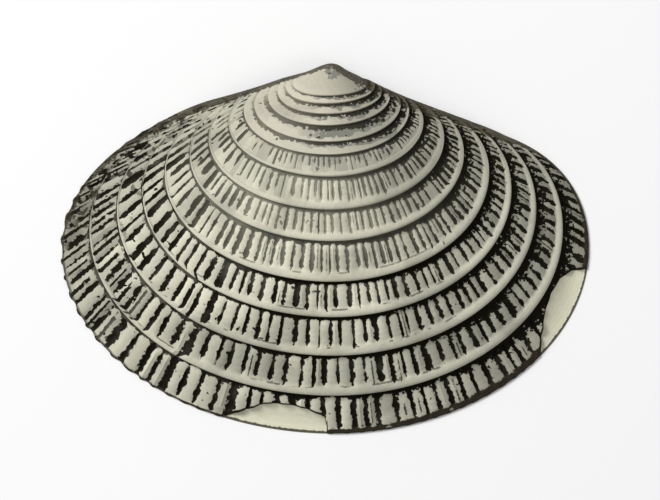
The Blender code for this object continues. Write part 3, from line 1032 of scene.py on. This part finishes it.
@dataclass
class HingeTeeth:
    """Two teeth under the beak and a long one on each side, rooted in the hinge plate."""

    valve: Valve
    name: str = "hinge_teeth"
    teeth: tuple[Tooth, ...] = (
        Tooth(0.62, -2.00, -58.0, 0.95, 0.30), Tooth(-0.05, -2.00, 76.0, 0.85, 0.26),
        Tooth(3.30, -2.35, -20.0, 1.50, 0.30), Tooth(-3.70, -2.20, 16.0, 1.60, 0.30))
    tip: float = 0.06 * MM
    root: float = 0.62 * MM
    tip_width: float = 0.45
    tip_length: float = 0.72
    rounding: float = 0.07 * MM
    rounding_segments: int = 4

    def add_tooth(self, bm: bmesh.types.BMesh, tooth: Tooth) -> None:
        """Adds one rounded tooth that narrows to its tip.

        Args:
            bm: Mesh to build in.
            tooth: Its place and sizes.
        """
        verts = bmesh.ops.create_cube(bm, size=1.0)["verts"]
        for vert in verts:
            at_tip = vert.co.z < 0
            vert.co.x *= tooth.length * MM * (self.tip_length if at_tip else 1.0)
            vert.co.y *= tooth.width * MM * (self.tip_width if at_tip else 1.0)
            vert.co.z = self.tip if at_tip else self.root
        edges = list({edge for vert in verts for edge in vert.link_edges})
        made = bmesh.ops.bevel(bm, geom=edges, offset=self.rounding, affect="EDGES",
                               segments=self.rounding_segments, profile=0.5, material=-1)["verts"]
        around = Matrix.Rotation(math.radians(tooth.turn), 3, "Z")
        bmesh.ops.rotate(bm, verts=made, cent=Vector(), matrix=around)
        place = Vector((tooth.x * MM, tooth.y * MM, 0.0)) + self.valve.shift
        bmesh.ops.translate(bm, verts=made, vec=place)

    def build(self) -> bpy.types.Object:
        """Builds the teeth as one piece that rides on the valve's body."""
        bm = bmesh.new()
        for tooth in self.teeth:
            self.add_tooth(bm, tooth)
        for face in bm.faces:
            face.smooth = True
        bmesh.ops.recalc_face_normals(bm, faces=bm.faces)
        teeth = new_object(self.name, bm)
        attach(teeth, "root")
        return teeth


Colour = tuple[float, float, float, float]
MARKS = (*RingMesh.MARKS, "strip")


def shade(red: int, green: int, blue: int) -> Colour:
    """Linear colour of an 8-bit screen colour."""
    channels = [channel / 255.0 for channel in (red, green, blue)]
    linear = [c / 12.92 if c <= 0.04045 else ((c + 0.055) / 1.055) ** 2.4 for c in channels]
    return (*linear, 1.0)


@dataclass(frozen=True)
class Signal:
    """A number that changes over the surface. Its sums, products and masks are Math nodes."""

    graph: "Graph"
    socket: bpy.types.NodeSocket

    def math(self, operation: str, *others: "Value", clamp: bool = False) -> "Signal":
        """A Math node over this number and the others."""
        return self.graph.math(operation, self, *others, clamp=clamp)

    def __add__(self, other: "Value") -> "Signal":
        """Sum."""
        return self.math("ADD", other)

    def __sub__(self, other: "Value") -> "Signal":
        """Difference."""
        return self.math("SUBTRACT", other)

    def __rsub__(self, other: float) -> "Signal":
        """Difference from a plain number."""
        return self.graph.math("SUBTRACT", other, self)

    def __mul__(self, other: "Value") -> "Signal":
        """Product."""
        return self.math("MULTIPLY", other)

    def __or__(self, other: "Value") -> "Signal":
        """The greater of two masks."""
        return self.math("MAXIMUM", other)

    def __invert__(self) -> "Signal":
        """The mask's opposite."""
        return 1.0 - self

    def __abs__(self) -> "Signal":
        """Distance from 0."""
        return self.math("ABSOLUTE")

    def ramp(self, rise: float, start: float) -> "Signal":
        """A straight rise from a start at 0, kept between 0 and 1."""
        return self.math("MULTIPLY_ADD", rise, start, clamp=True)

    def above(self, edge: "Value", soft: float) -> "Signal":
        """0 below an edge and 1 above it, over a soft width."""
        return (self - edge).ramp(1.0 / soft, 0.5)

    def below(self, edge: "Value", soft: float) -> "Signal":
        """1 below an edge and 0 above it, over a soft width."""
        return (self - edge).ramp(-1.0 / soft, 0.5)


Value = float | Signal


class Graph:
    """Adds and links the nodes of one node tree."""

    def __init__(self, tree: bpy.types.NodeTree) -> None:
        """Takes the tree to work in."""
        self.tree = tree

    def add(self, kind: str, **settings: object) -> bpy.types.Node:
        """Adds a node and sets its properties."""
        node = self.tree.nodes.new(kind)
        for name, value in settings.items():
            setattr(node, name, value)
        return node

    def feed(self, socket: bpy.types.NodeSocket, value: object) -> None:
        """Links a signal or a socket to an input, or sets the input to a value."""
        source = value.socket if isinstance(value, Signal) else value
        if isinstance(source, bpy.types.NodeSocket):
            self.tree.links.new(source, socket)
        else:
            socket.default_value = source

    def math(self, operation: str, *values: Value, clamp: bool = False) -> Signal:
        """A Math node over the values."""
        node = self.add("ShaderNodeMath", operation=operation, use_clamp=clamp)
        for socket, value in zip(node.inputs, values):
            self.feed(socket, value)
        return Signal(self, node.outputs[0])

    def mark(self, name: str) -> Signal:
        """A mark of the mesh's points."""
        return Signal(self, self.add("ShaderNodeAttribute", attribute_name=name).outputs["Fac"])

    def noise(self, scale: Value, detail: float, roughness: float = 0.5, offset: float = 0.0) -> Signal:
        """Noise over the piece, from 0 to 1.

        Args:
            scale: How fine it is.
            detail: Number of finer layers.
            roughness: Strength of the finer layers.
            offset: How far its field is shifted.

        Returns:
            The noise.
        """
        node = self.add("ShaderNodeTexNoise")
        place = self.add("ShaderNodeTexCoord").outputs["Object"]
        if offset:
            moved = self.add("ShaderNodeMapping")
            moved.inputs["Location"].default_value = (offset, offset, 0.0)
            self.feed(moved.inputs["Vector"], place)
            place = moved.outputs["Vector"]
        values = {"Vector": place, "Scale": scale, "Detail": detail, "Roughness": roughness}
        for name, value in values.items():
            self.feed(node.inputs[name], value)
        return Signal(self, node.outputs["Fac"])

    def fray(self, scale: float, detail: float = 3.0, roughness: float = 0.5) -> Signal:
        """Noise about 0, from -1 to 1, over the piece."""
        return self.noise(scale, detail, roughness).math("MULTIPLY_ADD", 2.0, -1.0)

    def layered(self, base: object, *coats: tuple[Value, object]) -> bpy.types.NodeSocket:
        """Lays colours over a base.

        Args:
            base: Colour to start from.
            coats: Each coat's share and colour, from the first to the last.

        Returns:
            The mixed colour.
        """
        for share, colour in coats:
            node = self.add("ShaderNodeMix", data_type="RGBA")
            for place, value in ((0, share), (6, base), (7, colour)):
                self.feed(node.inputs[place], value)
            base = node.outputs[2]
        return base

    def placed(self, group: bpy.types.NodeTree, **values: Value) -> dict[str, Signal]:
        """Places a node group with its own values, and returns its outputs."""
        node = self.add("ShaderNodeGroup", node_tree=group)
        for name, value in values.items():
            self.feed(node.inputs[name], value)
        return {socket.name: Signal(self, socket) for socket in node.outputs}

    def bump(self, height: Signal, strength: float) -> bpy.types.NodeSocket:
        """Normal of a fine relief."""
        node = self.add("ShaderNodeBump")
        for name, value in (("Strength", strength), ("Distance", BUMP_DEPTH), ("Height", height)):
            self.feed(node.inputs[name], value)
        return node.outputs["Normal"]


def new_material(name: str, kind: type[Graph] = Graph) -> tuple[bpy.types.Material, Graph]:
    """Starts a material with a plain surface shader, and its graph."""
    material = bpy.data.materials.new(name)
    material.use_nodes = True
    return material, kind(material.node_tree)


def finish_surface(graph: Graph, **values: object) -> None:
    """Feeds the surface shader of a material; an input's name has an underscore for each space."""
    surface = graph.tree.nodes["Principled BSDF"]
    for name, value in values.items():
        graph.feed(surface.inputs[name.replace("_", " ")], value)


def new_group(name: str, inputs: dict[str, float],
              outputs: tuple[str, ...]) -> tuple[Graph, dict[str, Signal], bpy.types.NodeInputs]:
    """Starts a shader node group.

    Args:
        name: Name of the group.
        inputs: Name and value of each number that it takes.
        outputs: Name of each number that it gives.

    Returns:
        The graph to build in, the group's inputs as signals and its output sockets.
    """
    graph = Graph(bpy.data.node_groups.new(name, "ShaderNodeTree"))
    sockets = graph.tree.interface
    for label, value in inputs.items():
        sockets.new_socket(name=label, in_out="INPUT", socket_type="NodeSocketFloat").default_value = value
    for label in outputs:
        sockets.new_socket(name=label, in_out="OUTPUT", socket_type="NodeSocketFloat")
    given = graph.add("NodeGroupInput").outputs
    signals = {label: Signal(graph, given[label]) for label in inputs}
    return graph, signals, graph.add("NodeGroupOutput").inputs


def mottling_group() -> bpy.types.NodeTree:
    """Broad patches of tint and shade, with fine grain."""
    layers = (("Tint", "Patches", 2.0, 0.0), ("Shade", "Patches", 4.0, 0.1), ("Grain", "Grain", 3.0, 0.0))
    labels = tuple(layer[0] for layer in layers)
    graph, given, made = new_group("shell_mottling", {"Patches": 300.0, "Grain": 6000.0}, labels)
    for label, scale, detail, offset in layers:
        graph.feed(made[label], graph.noise(given[scale], detail, offset=offset).ramp(2.0, -0.5))
    return graph.tree


def striae_group() -> bpy.types.NodeTree:
    """Hair-fine growth lines along the growth mark."""
    graph, given, made = new_group("growth_striae", {"Lines": 9.0, "Wander": 0.02}, ("Height",))
    growth = graph.mark("growth") + graph.fray(900.0) * given["Wander"]
    wave = (growth * given["Lines"] * (2.0 * math.pi)).math("SINE")
    graph.feed(made["Height"], wave.math("MULTIPLY_ADD", 0.5, 0.5))
    return graph.tree


class Zone(Enum):
    """Zones of the outer face: a mark, its value where the zone is 0, and its value where it is 1."""

    FRONT = ("riblet", 2.0, 24.2)
    BEHIND = ("riblet", -6.0, -16.0)
    REAR_END = ("riblet", -21.0, -26.0)
    UPPER_EDGE = ("strip", 1.4, 0.6)
    UPPER_EDGE_BEHIND = ("riblet", -11.0, -15.0)
    UMBO = ("growth", 6.05, 5.95)
    RIBBED = ("growth", 5.95, 6.05)
    LAST_BAND = ("growth", 12.95, 13.05)
    BELOW_TIP = ("growth", 0.975, 1.025)
    CAP = ("growth", 1.1, 0.9)
    DOUBLED_BEHIND = ("riblet", -13.75, -15.25)
    DOUBLED_BANDS = ("growth", 11.9, 12.0)
    OPEN_GROOVE = ("groove", 0.125, 0.275)
    WIDER_BEHIND = ("riblet", -7.5, -15.8)
    WIDER_BANDS = ("growth", 12.25, 10.75)
    HAIRS_IN_FRONT = ("riblet", -10.0, -8.0)
    HAIR_BANDS = ("growth", 6.95, 7.05)
    END_LINE_BANDS = ("growth", 9.0, 10.0)
    END_LINES_BEHIND = ("riblet", 15.0, 9.0)
    BLOTS_BEHIND = ("riblet", -15.8, -24.2)
    BLOT_BANDS = ("growth", 9.8, 11.8)
    DARK_GAPS = ("growth", 6.0, 10.0)
    SCAR = ("flake", 0.75, 0.85)
    BROKEN = ("flake", 0.025, 0.075)
    UNSCARRED = ("flake", 0.9, 0.8)
    LIT_FROM = ("growth", 6.5, 9.5)
    LIT_UNTIL = ("growth", 12.3, 11.5)
    LIT_IN_FRONT = ("riblet", -8.0, -2.0)
    SHADED_EDGE = ("strip", 3.8, 1.8)
    SHADED_BEHIND = ("riblet", -7.5, -14.5)
    FRONT_END = ("riblet", 21.1, 32.2)
    YOUNG = ("growth", 10.75, 7.25)
    YOUNG_FRONT = ("riblet", -0.55, 10.55)
    WARM_UMBO = ("growth", 7.5, 2.5)
    DULL_UMBO = ("growth", 7.0, 5.0)
    UMBO_FRONT = ("riblet", -0.7, 13.6)
    PATCHED = ("growth", 7.25, 5.75)
    STAINED_BAND = ("growth", 12.9, 13.1)
    STAINED_BEHIND = ("riblet", -16.5, -21.5)
    WIDE_RIM = ("riblet", -5.0, 11.7)


class Skin(Graph):
    """Graph of the outer face, with the marks of its points and the noise that frays its masks."""

    def __init__(self, tree: bpy.types.NodeTree) -> None:
        """Reads the marks and works out what several masks use."""
        super().__init__(tree)
        self.marks = {name: self.mark(name) for name in MARKS}
        self.riblet, self.growth = self.marks["riblet"], self.marks["growth"]
        self.ragged = self.fray(7500.0, 2.5, 0.55)
        self.slow = self.fray(1500.0, 2.0)
        self.stage = self.growth.math("FRACT")
        self.aside = abs(self.riblet.math("FRACT") - 0.5)
        self.front, self.behind = self.within(Zone.FRONT), self.within(Zone.BEHIND)
        self.upper_rear = self.within(Zone.UPPER_EDGE, Zone.UPPER_EDGE_BEHIND)
        self.doubled = self.within(Zone.DOUBLED_BEHIND, Zone.DOUBLED_BANDS)

    def within(self, *zones: Zone) -> Signal:
        """How far a point lies inside all of these zones.

        Args:
            zones: The zones.

        Returns:
            1 inside them, 0 outside any of them.
        """
        inside = None
        for zone in zones:
            name, start, end = zone.value
            part = self.marks[name].ramp(1.0 / (end - start), start / (start - end))
            inside = part if inside is None else inside * part
        return inside


@dataclass(frozen=True)
class OuterFinish:
    """Pale grey-cream outer layer, with dark deposit and painted shade in the gaps and the grooves, and
    painted light and shade in its tone.
    """

    mottling: bpy.types.NodeTree
    striae: bpy.types.NodeTree
    relief: Relief = Relief()
    last_band: float = 13.0
    cell: Colour = shade(200, 197, 175)
    cool: Colour = shade(168, 170, 157)
    # Painted light over the dim middle.
    painted_light: Colour = shade(226, 223, 200)
    # Duller tone of random cells, and painted shade.
    dull_and_painted_shade: Colour = shade(126, 125, 113)
    rib: Colour = shade(174, 171, 156)
    umbo: Colour = shade(186, 180, 163)
    patch: Colour = shade(116, 116, 106)
    scar: Colour = shade(212, 210, 186)
    # Near-black deposit, also the painted shade in grooves and gaps.
    deposit_and_shade: Colour = shade(20, 18, 9)
    # Brown stain, also a tone of the painted shade along the upper edge.
    stain_and_shade: Colour = shade(72, 67, 52)
    edge: Colour = shade(46, 41, 31)
    groove_half: float = 0.165
    groove_fray: float = 0.13
    hair_wall: float = 0.44
    hair_stretch: tuple[float, float] = (0.30, 0.68)
    gap_roundness: float = 0.35
    gap_fray: float = 0.10
    line_half: float = 0.02
    rim_start: float = 0.80
    strip_width: float = 0.30
    outline_width: float = 0.08
    roughness: float = 0.72
    specular: float = 0.12

    def grooves(self, skin: Skin) -> Signal:
        """Mask of the grooves between the riblets, deposit and painted shade: wider and more ragged in front,
        broken at the upper rear.

        Args:
            skin: Graph of the material.

        Returns:
            The mask.
        """
        half = skin.front * 0.06 + self.groove_half - skin.doubled * 0.045
        width = skin.marks["groove"] * half + skin.ragged * (skin.front * 0.12 + self.groove_fray)
        width = width + skin.slow * 0.10 + skin.fray(3600.0, 1.0) * self.groove_fray
        width = width + skin.within(Zone.REAR_END) * 0.09
        width = width + skin.within(Zone.WIDER_BEHIND, Zone.WIDER_BANDS) * 0.06
        broken = skin.upper_rear * skin.fray(3300.0, 1.0).above(-0.05, 0.15)
        return skin.aside.below(width, 0.03) * skin.within(Zone.OPEN_GROOVE) * ~broken

    def hairs(self, skin: Skin) -> Signal:
        """Mask of the hair lines that split some riblets of the later bands.

        Args:
            skin: Graph of the material.

        Returns:
            The mask.
        """
        wall = skin.ragged * 0.12 + self.hair_wall - skin.doubled * 0.065
        start, end = (skin.slow * 0.5 + share for share in self.hair_stretch)
        lines = skin.marks["hair"] * skin.aside.above(wall, 0.02) * (skin.doubled * 0.2 + 0.8)
        lines = lines * skin.stage.above(start - skin.doubled * 0.05, 0.05)
        lines = lines * skin.stage.below(end + skin.doubled * 0.14, 0.05)
        return lines * (skin.within(Zone.HAIRS_IN_FRONT) | skin.doubled) * skin.within(Zone.HAIR_BANDS)

    def gap(self, skin: Skin) -> Signal:
        """Mask of the dark gap under each rib, painted as the rib's cast shadow and as deposit; its lower
        edge follows the riblets' rounded tops.

        Args:
            skin: Graph of the material.

        Returns:
            The mask.
        """
        from_riblet = 0.5 - skin.aside
        rounded = from_riblet * from_riblet * self.gap_roundness * skin.within(Zone.RIBBED)
        fray = skin.front * 0.25 + self.gap_fray + skin.within(Zone.UMBO) * 0.14
        edge = rounded + (self.relief.gap_end - 0.03) + skin.ragged * fray + skin.slow * 0.16
        return (skin.stage.below(edge, 0.02) | skin.stage.above(0.99, 0.01)) * skin.within(Zone.BELOW_TIP)

    def cell_ends(self, skin: Skin) -> Signal:
        """Mask of the broken fine line between the riblets' lower ends and the rib.

        Args:
            skin: Graph of the material.

        Returns:
            The mask.
        """
        place = skin.slow * 0.012 + (self.relief.riblet_end + 0.025) + skin.ragged * 0.02
        line = abs(skin.stage - place).below(self.line_half, 0.012) * skin.slow.above(0.15, 0.1)
        return line * skin.within(Zone.END_LINE_BANDS, Zone.END_LINES_BEHIND) * 0.6

    def dots(self, skin: Skin) -> Signal:
        """Mask of scattered dots, and of blots behind.

        Args:
            skin: Graph of the material.

        Returns:
            The mask.
        """
        dots = skin.fray(5200.0, 0.0).above(0.50, 0.04) * skin.slow.above(0.1, 0.1)
        blots = skin.fray(2700.0, 2.0).above(0.26 - skin.upper_rear * 0.16, 0.05)
        blots = blots * skin.within(Zone.BLOTS_BEHIND, Zone.BLOT_BANDS)
        return (dots | blots) * skin.stage.below(self.relief.riblet_end, 0.05)

    def dark(self, skin: Skin) -> Signal:
        """Mask of everything dark, deposit and painted shade: grooves, gaps, hair lines, dots and the flakes'
        lips.

        Args:
            skin: Graph of the material.

        Returns:
            The mask, from 0 to 1.
        """
        ink = skin.marks["ink"]
        # Painted shadow in the gaps, broken and lighter behind and at the upper rear, where the ribs face the
        # light.
        lighter_gaps_behind = skin.slow.above(0.0, 0.5) * skin.behind * 0.25 | skin.upper_rear * 0.7
        gaps = self.gap(skin) * (ink | skin.within(Zone.DARK_GAPS)) * ~lighter_gaps_behind
        lines = (self.grooves(skin) | self.hairs(skin)) * (skin.slow * 0.15 + ink)
        mask = (gaps | lines).math("MAXIMUM", self.cell_ends(skin), clamp=True)
        mask = (mask | self.dots(skin) * ink) * ~skin.within(Zone.SCAR)
        # A painted shadow line along the lips of the flakes.
        return mask | skin.within(Zone.BROKEN, Zone.UNSCARRED)

    def tone(self, skin: Skin, mottles: dict[str, Signal]) -> bpy.types.NodeSocket:
        """Colour of the clean shell: each riblet with a tone of its own, ribs duller, the umbo warmer, with
        painted light over the middle and painted shade near the upper rear edge, to the front and over the
        cap.

        Args:
            skin: Graph of the material.
            mottles: Outputs of the placed mottling group.

        Returns:
            The colour.
        """
        cell = skin.add("ShaderNodeCombineXYZ")
        skin.feed(cell.inputs[0], skin.riblet.math("ROUND"))
        skin.feed(cell.inputs[1], skin.growth.math("FLOOR"))
        own = skin.add("ShaderNodeTexWhiteNoise", noise_dimensions="2D")
        skin.feed(own.inputs["Vector"], cell.outputs[0])
        own_dullness = Signal(skin, own.outputs["Value"]).math("POWER", 2.0) * 0.7
        rib = skin.stage.above(self.relief.riblet_end + 0.02, 0.06) | skin.within(Zone.UMBO)
        lit = abs(skin.riblet + 4.0).below(17.0, 12.0) * skin.within(Zone.LIT_FROM)
        lit = lit * (skin.within(Zone.LIT_UNTIL) | skin.within(Zone.LAST_BAND, Zone.LIT_IN_FRONT))
        return skin.layered(
            self.cell,
            (mottles["Tint"] * 0.8, self.cool),
            # Random duller cells, and painted shade towards the front.
            ((skin.front * 0.7 + own_dullness).ramp(1.0, 0.0) * ~rib, self.dull_and_painted_shade),
            # Painted light over the middle of the bands.
            (lit * 0.38, self.painted_light),
            # Painted shade near the upper rear edge.
            (skin.within(Zone.SHADED_EDGE, Zone.SHADED_BEHIND) * 0.38, self.dull_and_painted_shade),
            (rib * 0.45, self.rib),
            # Painted shade at the front end.
            (skin.within(Zone.FRONT_END) * 0.60, self.dull_and_painted_shade),
            # Painted shade on the young bands in front.
            (skin.within(Zone.YOUNG, Zone.YOUNG_FRONT) * 0.66, self.dull_and_painted_shade),
            (skin.within(Zone.WARM_UMBO), self.umbo),
            # Painted shade on the umbo's front.
            (skin.within(Zone.DULL_UMBO, Zone.UMBO_FRONT) * 0.60, self.dull_and_painted_shade),
            # Painted shade over the cap.
            (skin.within(Zone.CAP) * 0.30, self.dull_and_painted_shade),
            (mottles["Shade"].above(0.62, 0.25) * 0.45, self.dull_and_painted_shade),
            (mottles["Grain"] * 0.10, self.stain_and_shade))

    def upper_shade_strip(self, skin: Skin, mask: Signal) -> tuple[Signal, bpy.types.NodeSocket]:
        """The dark strip along the upper edge: painted shade on the steep upper slopes, with tones of stain
        and deposit.

        Args:
            skin: Graph of the material.
            mask: Mask of everything dark.

        Returns:
            The strip's share and its colour.
        """
        width = skin.slow * 0.20 + skin.ragged * 0.20 + self.strip_width
        tint = skin.layered(self.edge, (skin.slow.ramp(1.6, 0.5), self.stain_and_shade),
                            (skin.ragged.above(0.32, 0.1), self.patch), (mask * 0.6, self.deposit_and_shade))
        return skin.marks["strip"].below(width, 0.03) * 0.92, tint

    def material(self) -> bpy.types.Material:
        """Builds the material."""
        material, skin = new_material("ribbed_shell", Skin)
        ragged, slow = skin.ragged, skin.slow
        mottles = skin.placed(self.mottling, Patches=420.0, Grain=7000.0)
        mask, scar = self.dark(skin), skin.within(Zone.SCAR)
        patches = skin.stage.below(slow * 1.2 + 0.50, 0.03) * skin.within(Zone.PATCHED)
        patches = patches * abs(skin.riblet - 9.0).below(13.0, 6.0) * ragged.above(-0.30, 0.1)
        stained = skin.within(Zone.STAINED_BAND, Zone.STAINED_BEHIND) * slow.above(0.0, 0.6)
        rim = ragged * 0.06 + slow * 0.05 - skin.within(Zone.WIDE_RIM) * 0.10
        rim = rim + (self.rim_start + self.last_band)
        streaks = skin.fray(2600.0, 1.0).above(0.42, 0.06) * 0.6
        outline = skin.marks["edge"].below(ragged * 0.05 + skin.behind * 0.03 + self.outline_width, 0.02)
        base = skin.layered(
            self.tone(skin, mottles),
            (patches, self.patch),
            (stained * 0.5, self.stain_and_shade),
            (scar, self.scar),
            # Deposit and painted shade in the grooves, painted shadow in the gaps, with a brown edge round
            # them.
            (mask * 0.35, self.stain_and_shade),
            (mask, self.deposit_and_shade),
            (skin.growth.above(rim, 0.03) * ~scar * ~streaks, self.edge),
            (outline * (0.9 - skin.behind * 0.25), self.edge),
            # Painted shade along the upper edge.
            self.upper_shade_strip(skin, mask))
        striae = skin.placed(self.striae, Lines=8.0, Wander=0.05)
        finish_surface(skin, Base_Color=base, Roughness=mask * 0.3 + self.roughness,
                       Specular_IOR_Level=self.specular,
                       Normal=skin.bump(striae["Height"] * 0.4 + mottles["Grain"], 0.35))
        return material


@dataclass(frozen=True)
class InnerFinish:
    """Smooth cream inner layer with faint growth rings."""

    mottling: bpy.types.NodeTree
    striae: bpy.types.NodeTree
    porcelain: Colour = shade(232, 226, 208)
    warm: Colour = shade(214, 196, 168)
    grey: Colour = shade(170, 165, 150)
    roughness: float = 0.32

    def material(self) -> bpy.types.Material:
        """Builds the material."""
        material, graph = new_material("inner_shell")
        mottles = graph.placed(self.mottling, Patches=260.0, Grain=5000.0)
        base = graph.layered(self.porcelain, (mottles["Tint"] * 0.8, self.warm),
                             (mottles["Shade"] * 0.25, self.grey))
        striae = graph.placed(self.striae, Lines=5.0, Wander=0.2)
        finish_surface(graph, Base_Color=base, Roughness=mottles["Grain"] * 0.15 + self.roughness,
                       Normal=graph.bump(striae["Height"], 0.15))
        return material


@dataclass
class Studio:
    """Plain pale floor, soft light and the camera straight above the valve."""

    floor_size: float = 0.8
    floor_colour: Colour = (0.80, 0.80, 0.80, 1.0)
    floor_roughness: float = 0.9
    floor_specular: float = 0.1
    floor_gap: float = 0.02 * MM
    lens: float = 200.0
    nearest: float = 0.01
    frame_width: float = 25.05 * MM
    aim: tuple[float, float] = (0.20 * MM, -0.04 * MM)
    key_power: float = 1.35
    key_size: float = 0.16
    key_place: tuple[float, float, float] = (-0.20, 0.16, 0.22)
    fill_power: float = 0.12
    fill_place: tuple[float, float, float] = (0.25, -0.15, 0.30)
    sky: float = 0.42
    sky_colour: Colour = (1.0, 1.0, 1.0, 1.0)

    def lamp(self, name: str, place: tuple[float, float, float], power: float, size: float) -> None:
        """Adds a soft square lamp that looks at the valve.

        Args:
            name: Its name.
            place: Where it stands.
            power: Its power in watts.
            size: Length of its side.
        """
        data = bpy.data.lights.new(name, "AREA")
        data.energy = power
        data.size = size
        lamp = bpy.data.objects.new(name, data)
        lamp.location = place
        lamp.rotation_euler = Vector(place).to_track_quat("Z", "Y").to_euler()
        bpy.context.scene.collection.objects.link(lamp)

    def build_floor(self) -> None:
        """Lays the floor just under the valve."""
        bm = bmesh.new()
        bmesh.ops.create_grid(bm, x_segments=1, y_segments=1, size=0.5 * self.floor_size)
        bmesh.ops.translate(bm, verts=bm.verts, vec=Vector((0.0, 0.0, -self.floor_gap)))
        floor = new_object("floor", bm)
        material, graph = new_material("floor")
        finish_surface(graph, Base_Color=self.floor_colour, Roughness=self.floor_roughness,
                       Specular_IOR_Level=self.floor_specular)
        floor.data.materials.append(material)

    def build_camera(self) -> None:
        """Hangs the camera over the valve."""
        data = bpy.data.cameras.new("camera")
        data.lens = self.lens
        data.clip_start = self.nearest
        camera = bpy.data.objects.new("camera", data)
        camera.location = (*self.aim, self.frame_width * self.lens / data.sensor_width)
        bpy.context.scene.collection.objects.link(camera)
        bpy.context.scene.camera = camera

    def build(self) -> None:
        """Builds the floor, the lights and the camera."""
        self.build_floor()
        self.build_camera()
        self.lamp("key", self.key_place, self.key_power, self.key_size)
        self.lamp("fill", self.fill_place, self.fill_power, self.key_size)
        world = bpy.data.worlds.new("sky")
        world.use_nodes = True
        glow = world.node_tree.nodes["Background"].inputs
        glow["Color"].default_value = self.sky_colour
        glow["Strength"].default_value = self.sky
        bpy.context.scene.world = world
        bpy.context.scene.view_settings.view_transform = "Standard"


def report(piece: bpy.types.Object) -> None:
    """Reports a piece and its triangles."""
    triangles = sum(len(polygon.vertices) - 2 for polygon in piece.data.polygons)
    LOG.info("%s: %d triangles", piece.name, triangles)


def main() -> None:
    """Builds the studio, the valve and its teeth, and dresses them."""
    logging.basicConfig(level=logging.INFO)
    Studio().build()
    mottling, striae = mottling_group(), striae_group()
    inner = InnerFinish(mottling, striae)
    valve = Valve()
    shell = valve.build()
    valve.dress(shell, OuterFinish(mottling, striae), inner)
    report(shell)
    teeth = HingeTeeth(valve).build()
    teeth.data.materials.append(inner.material())
    report(teeth)


if __name__ == "__main__":
    main()
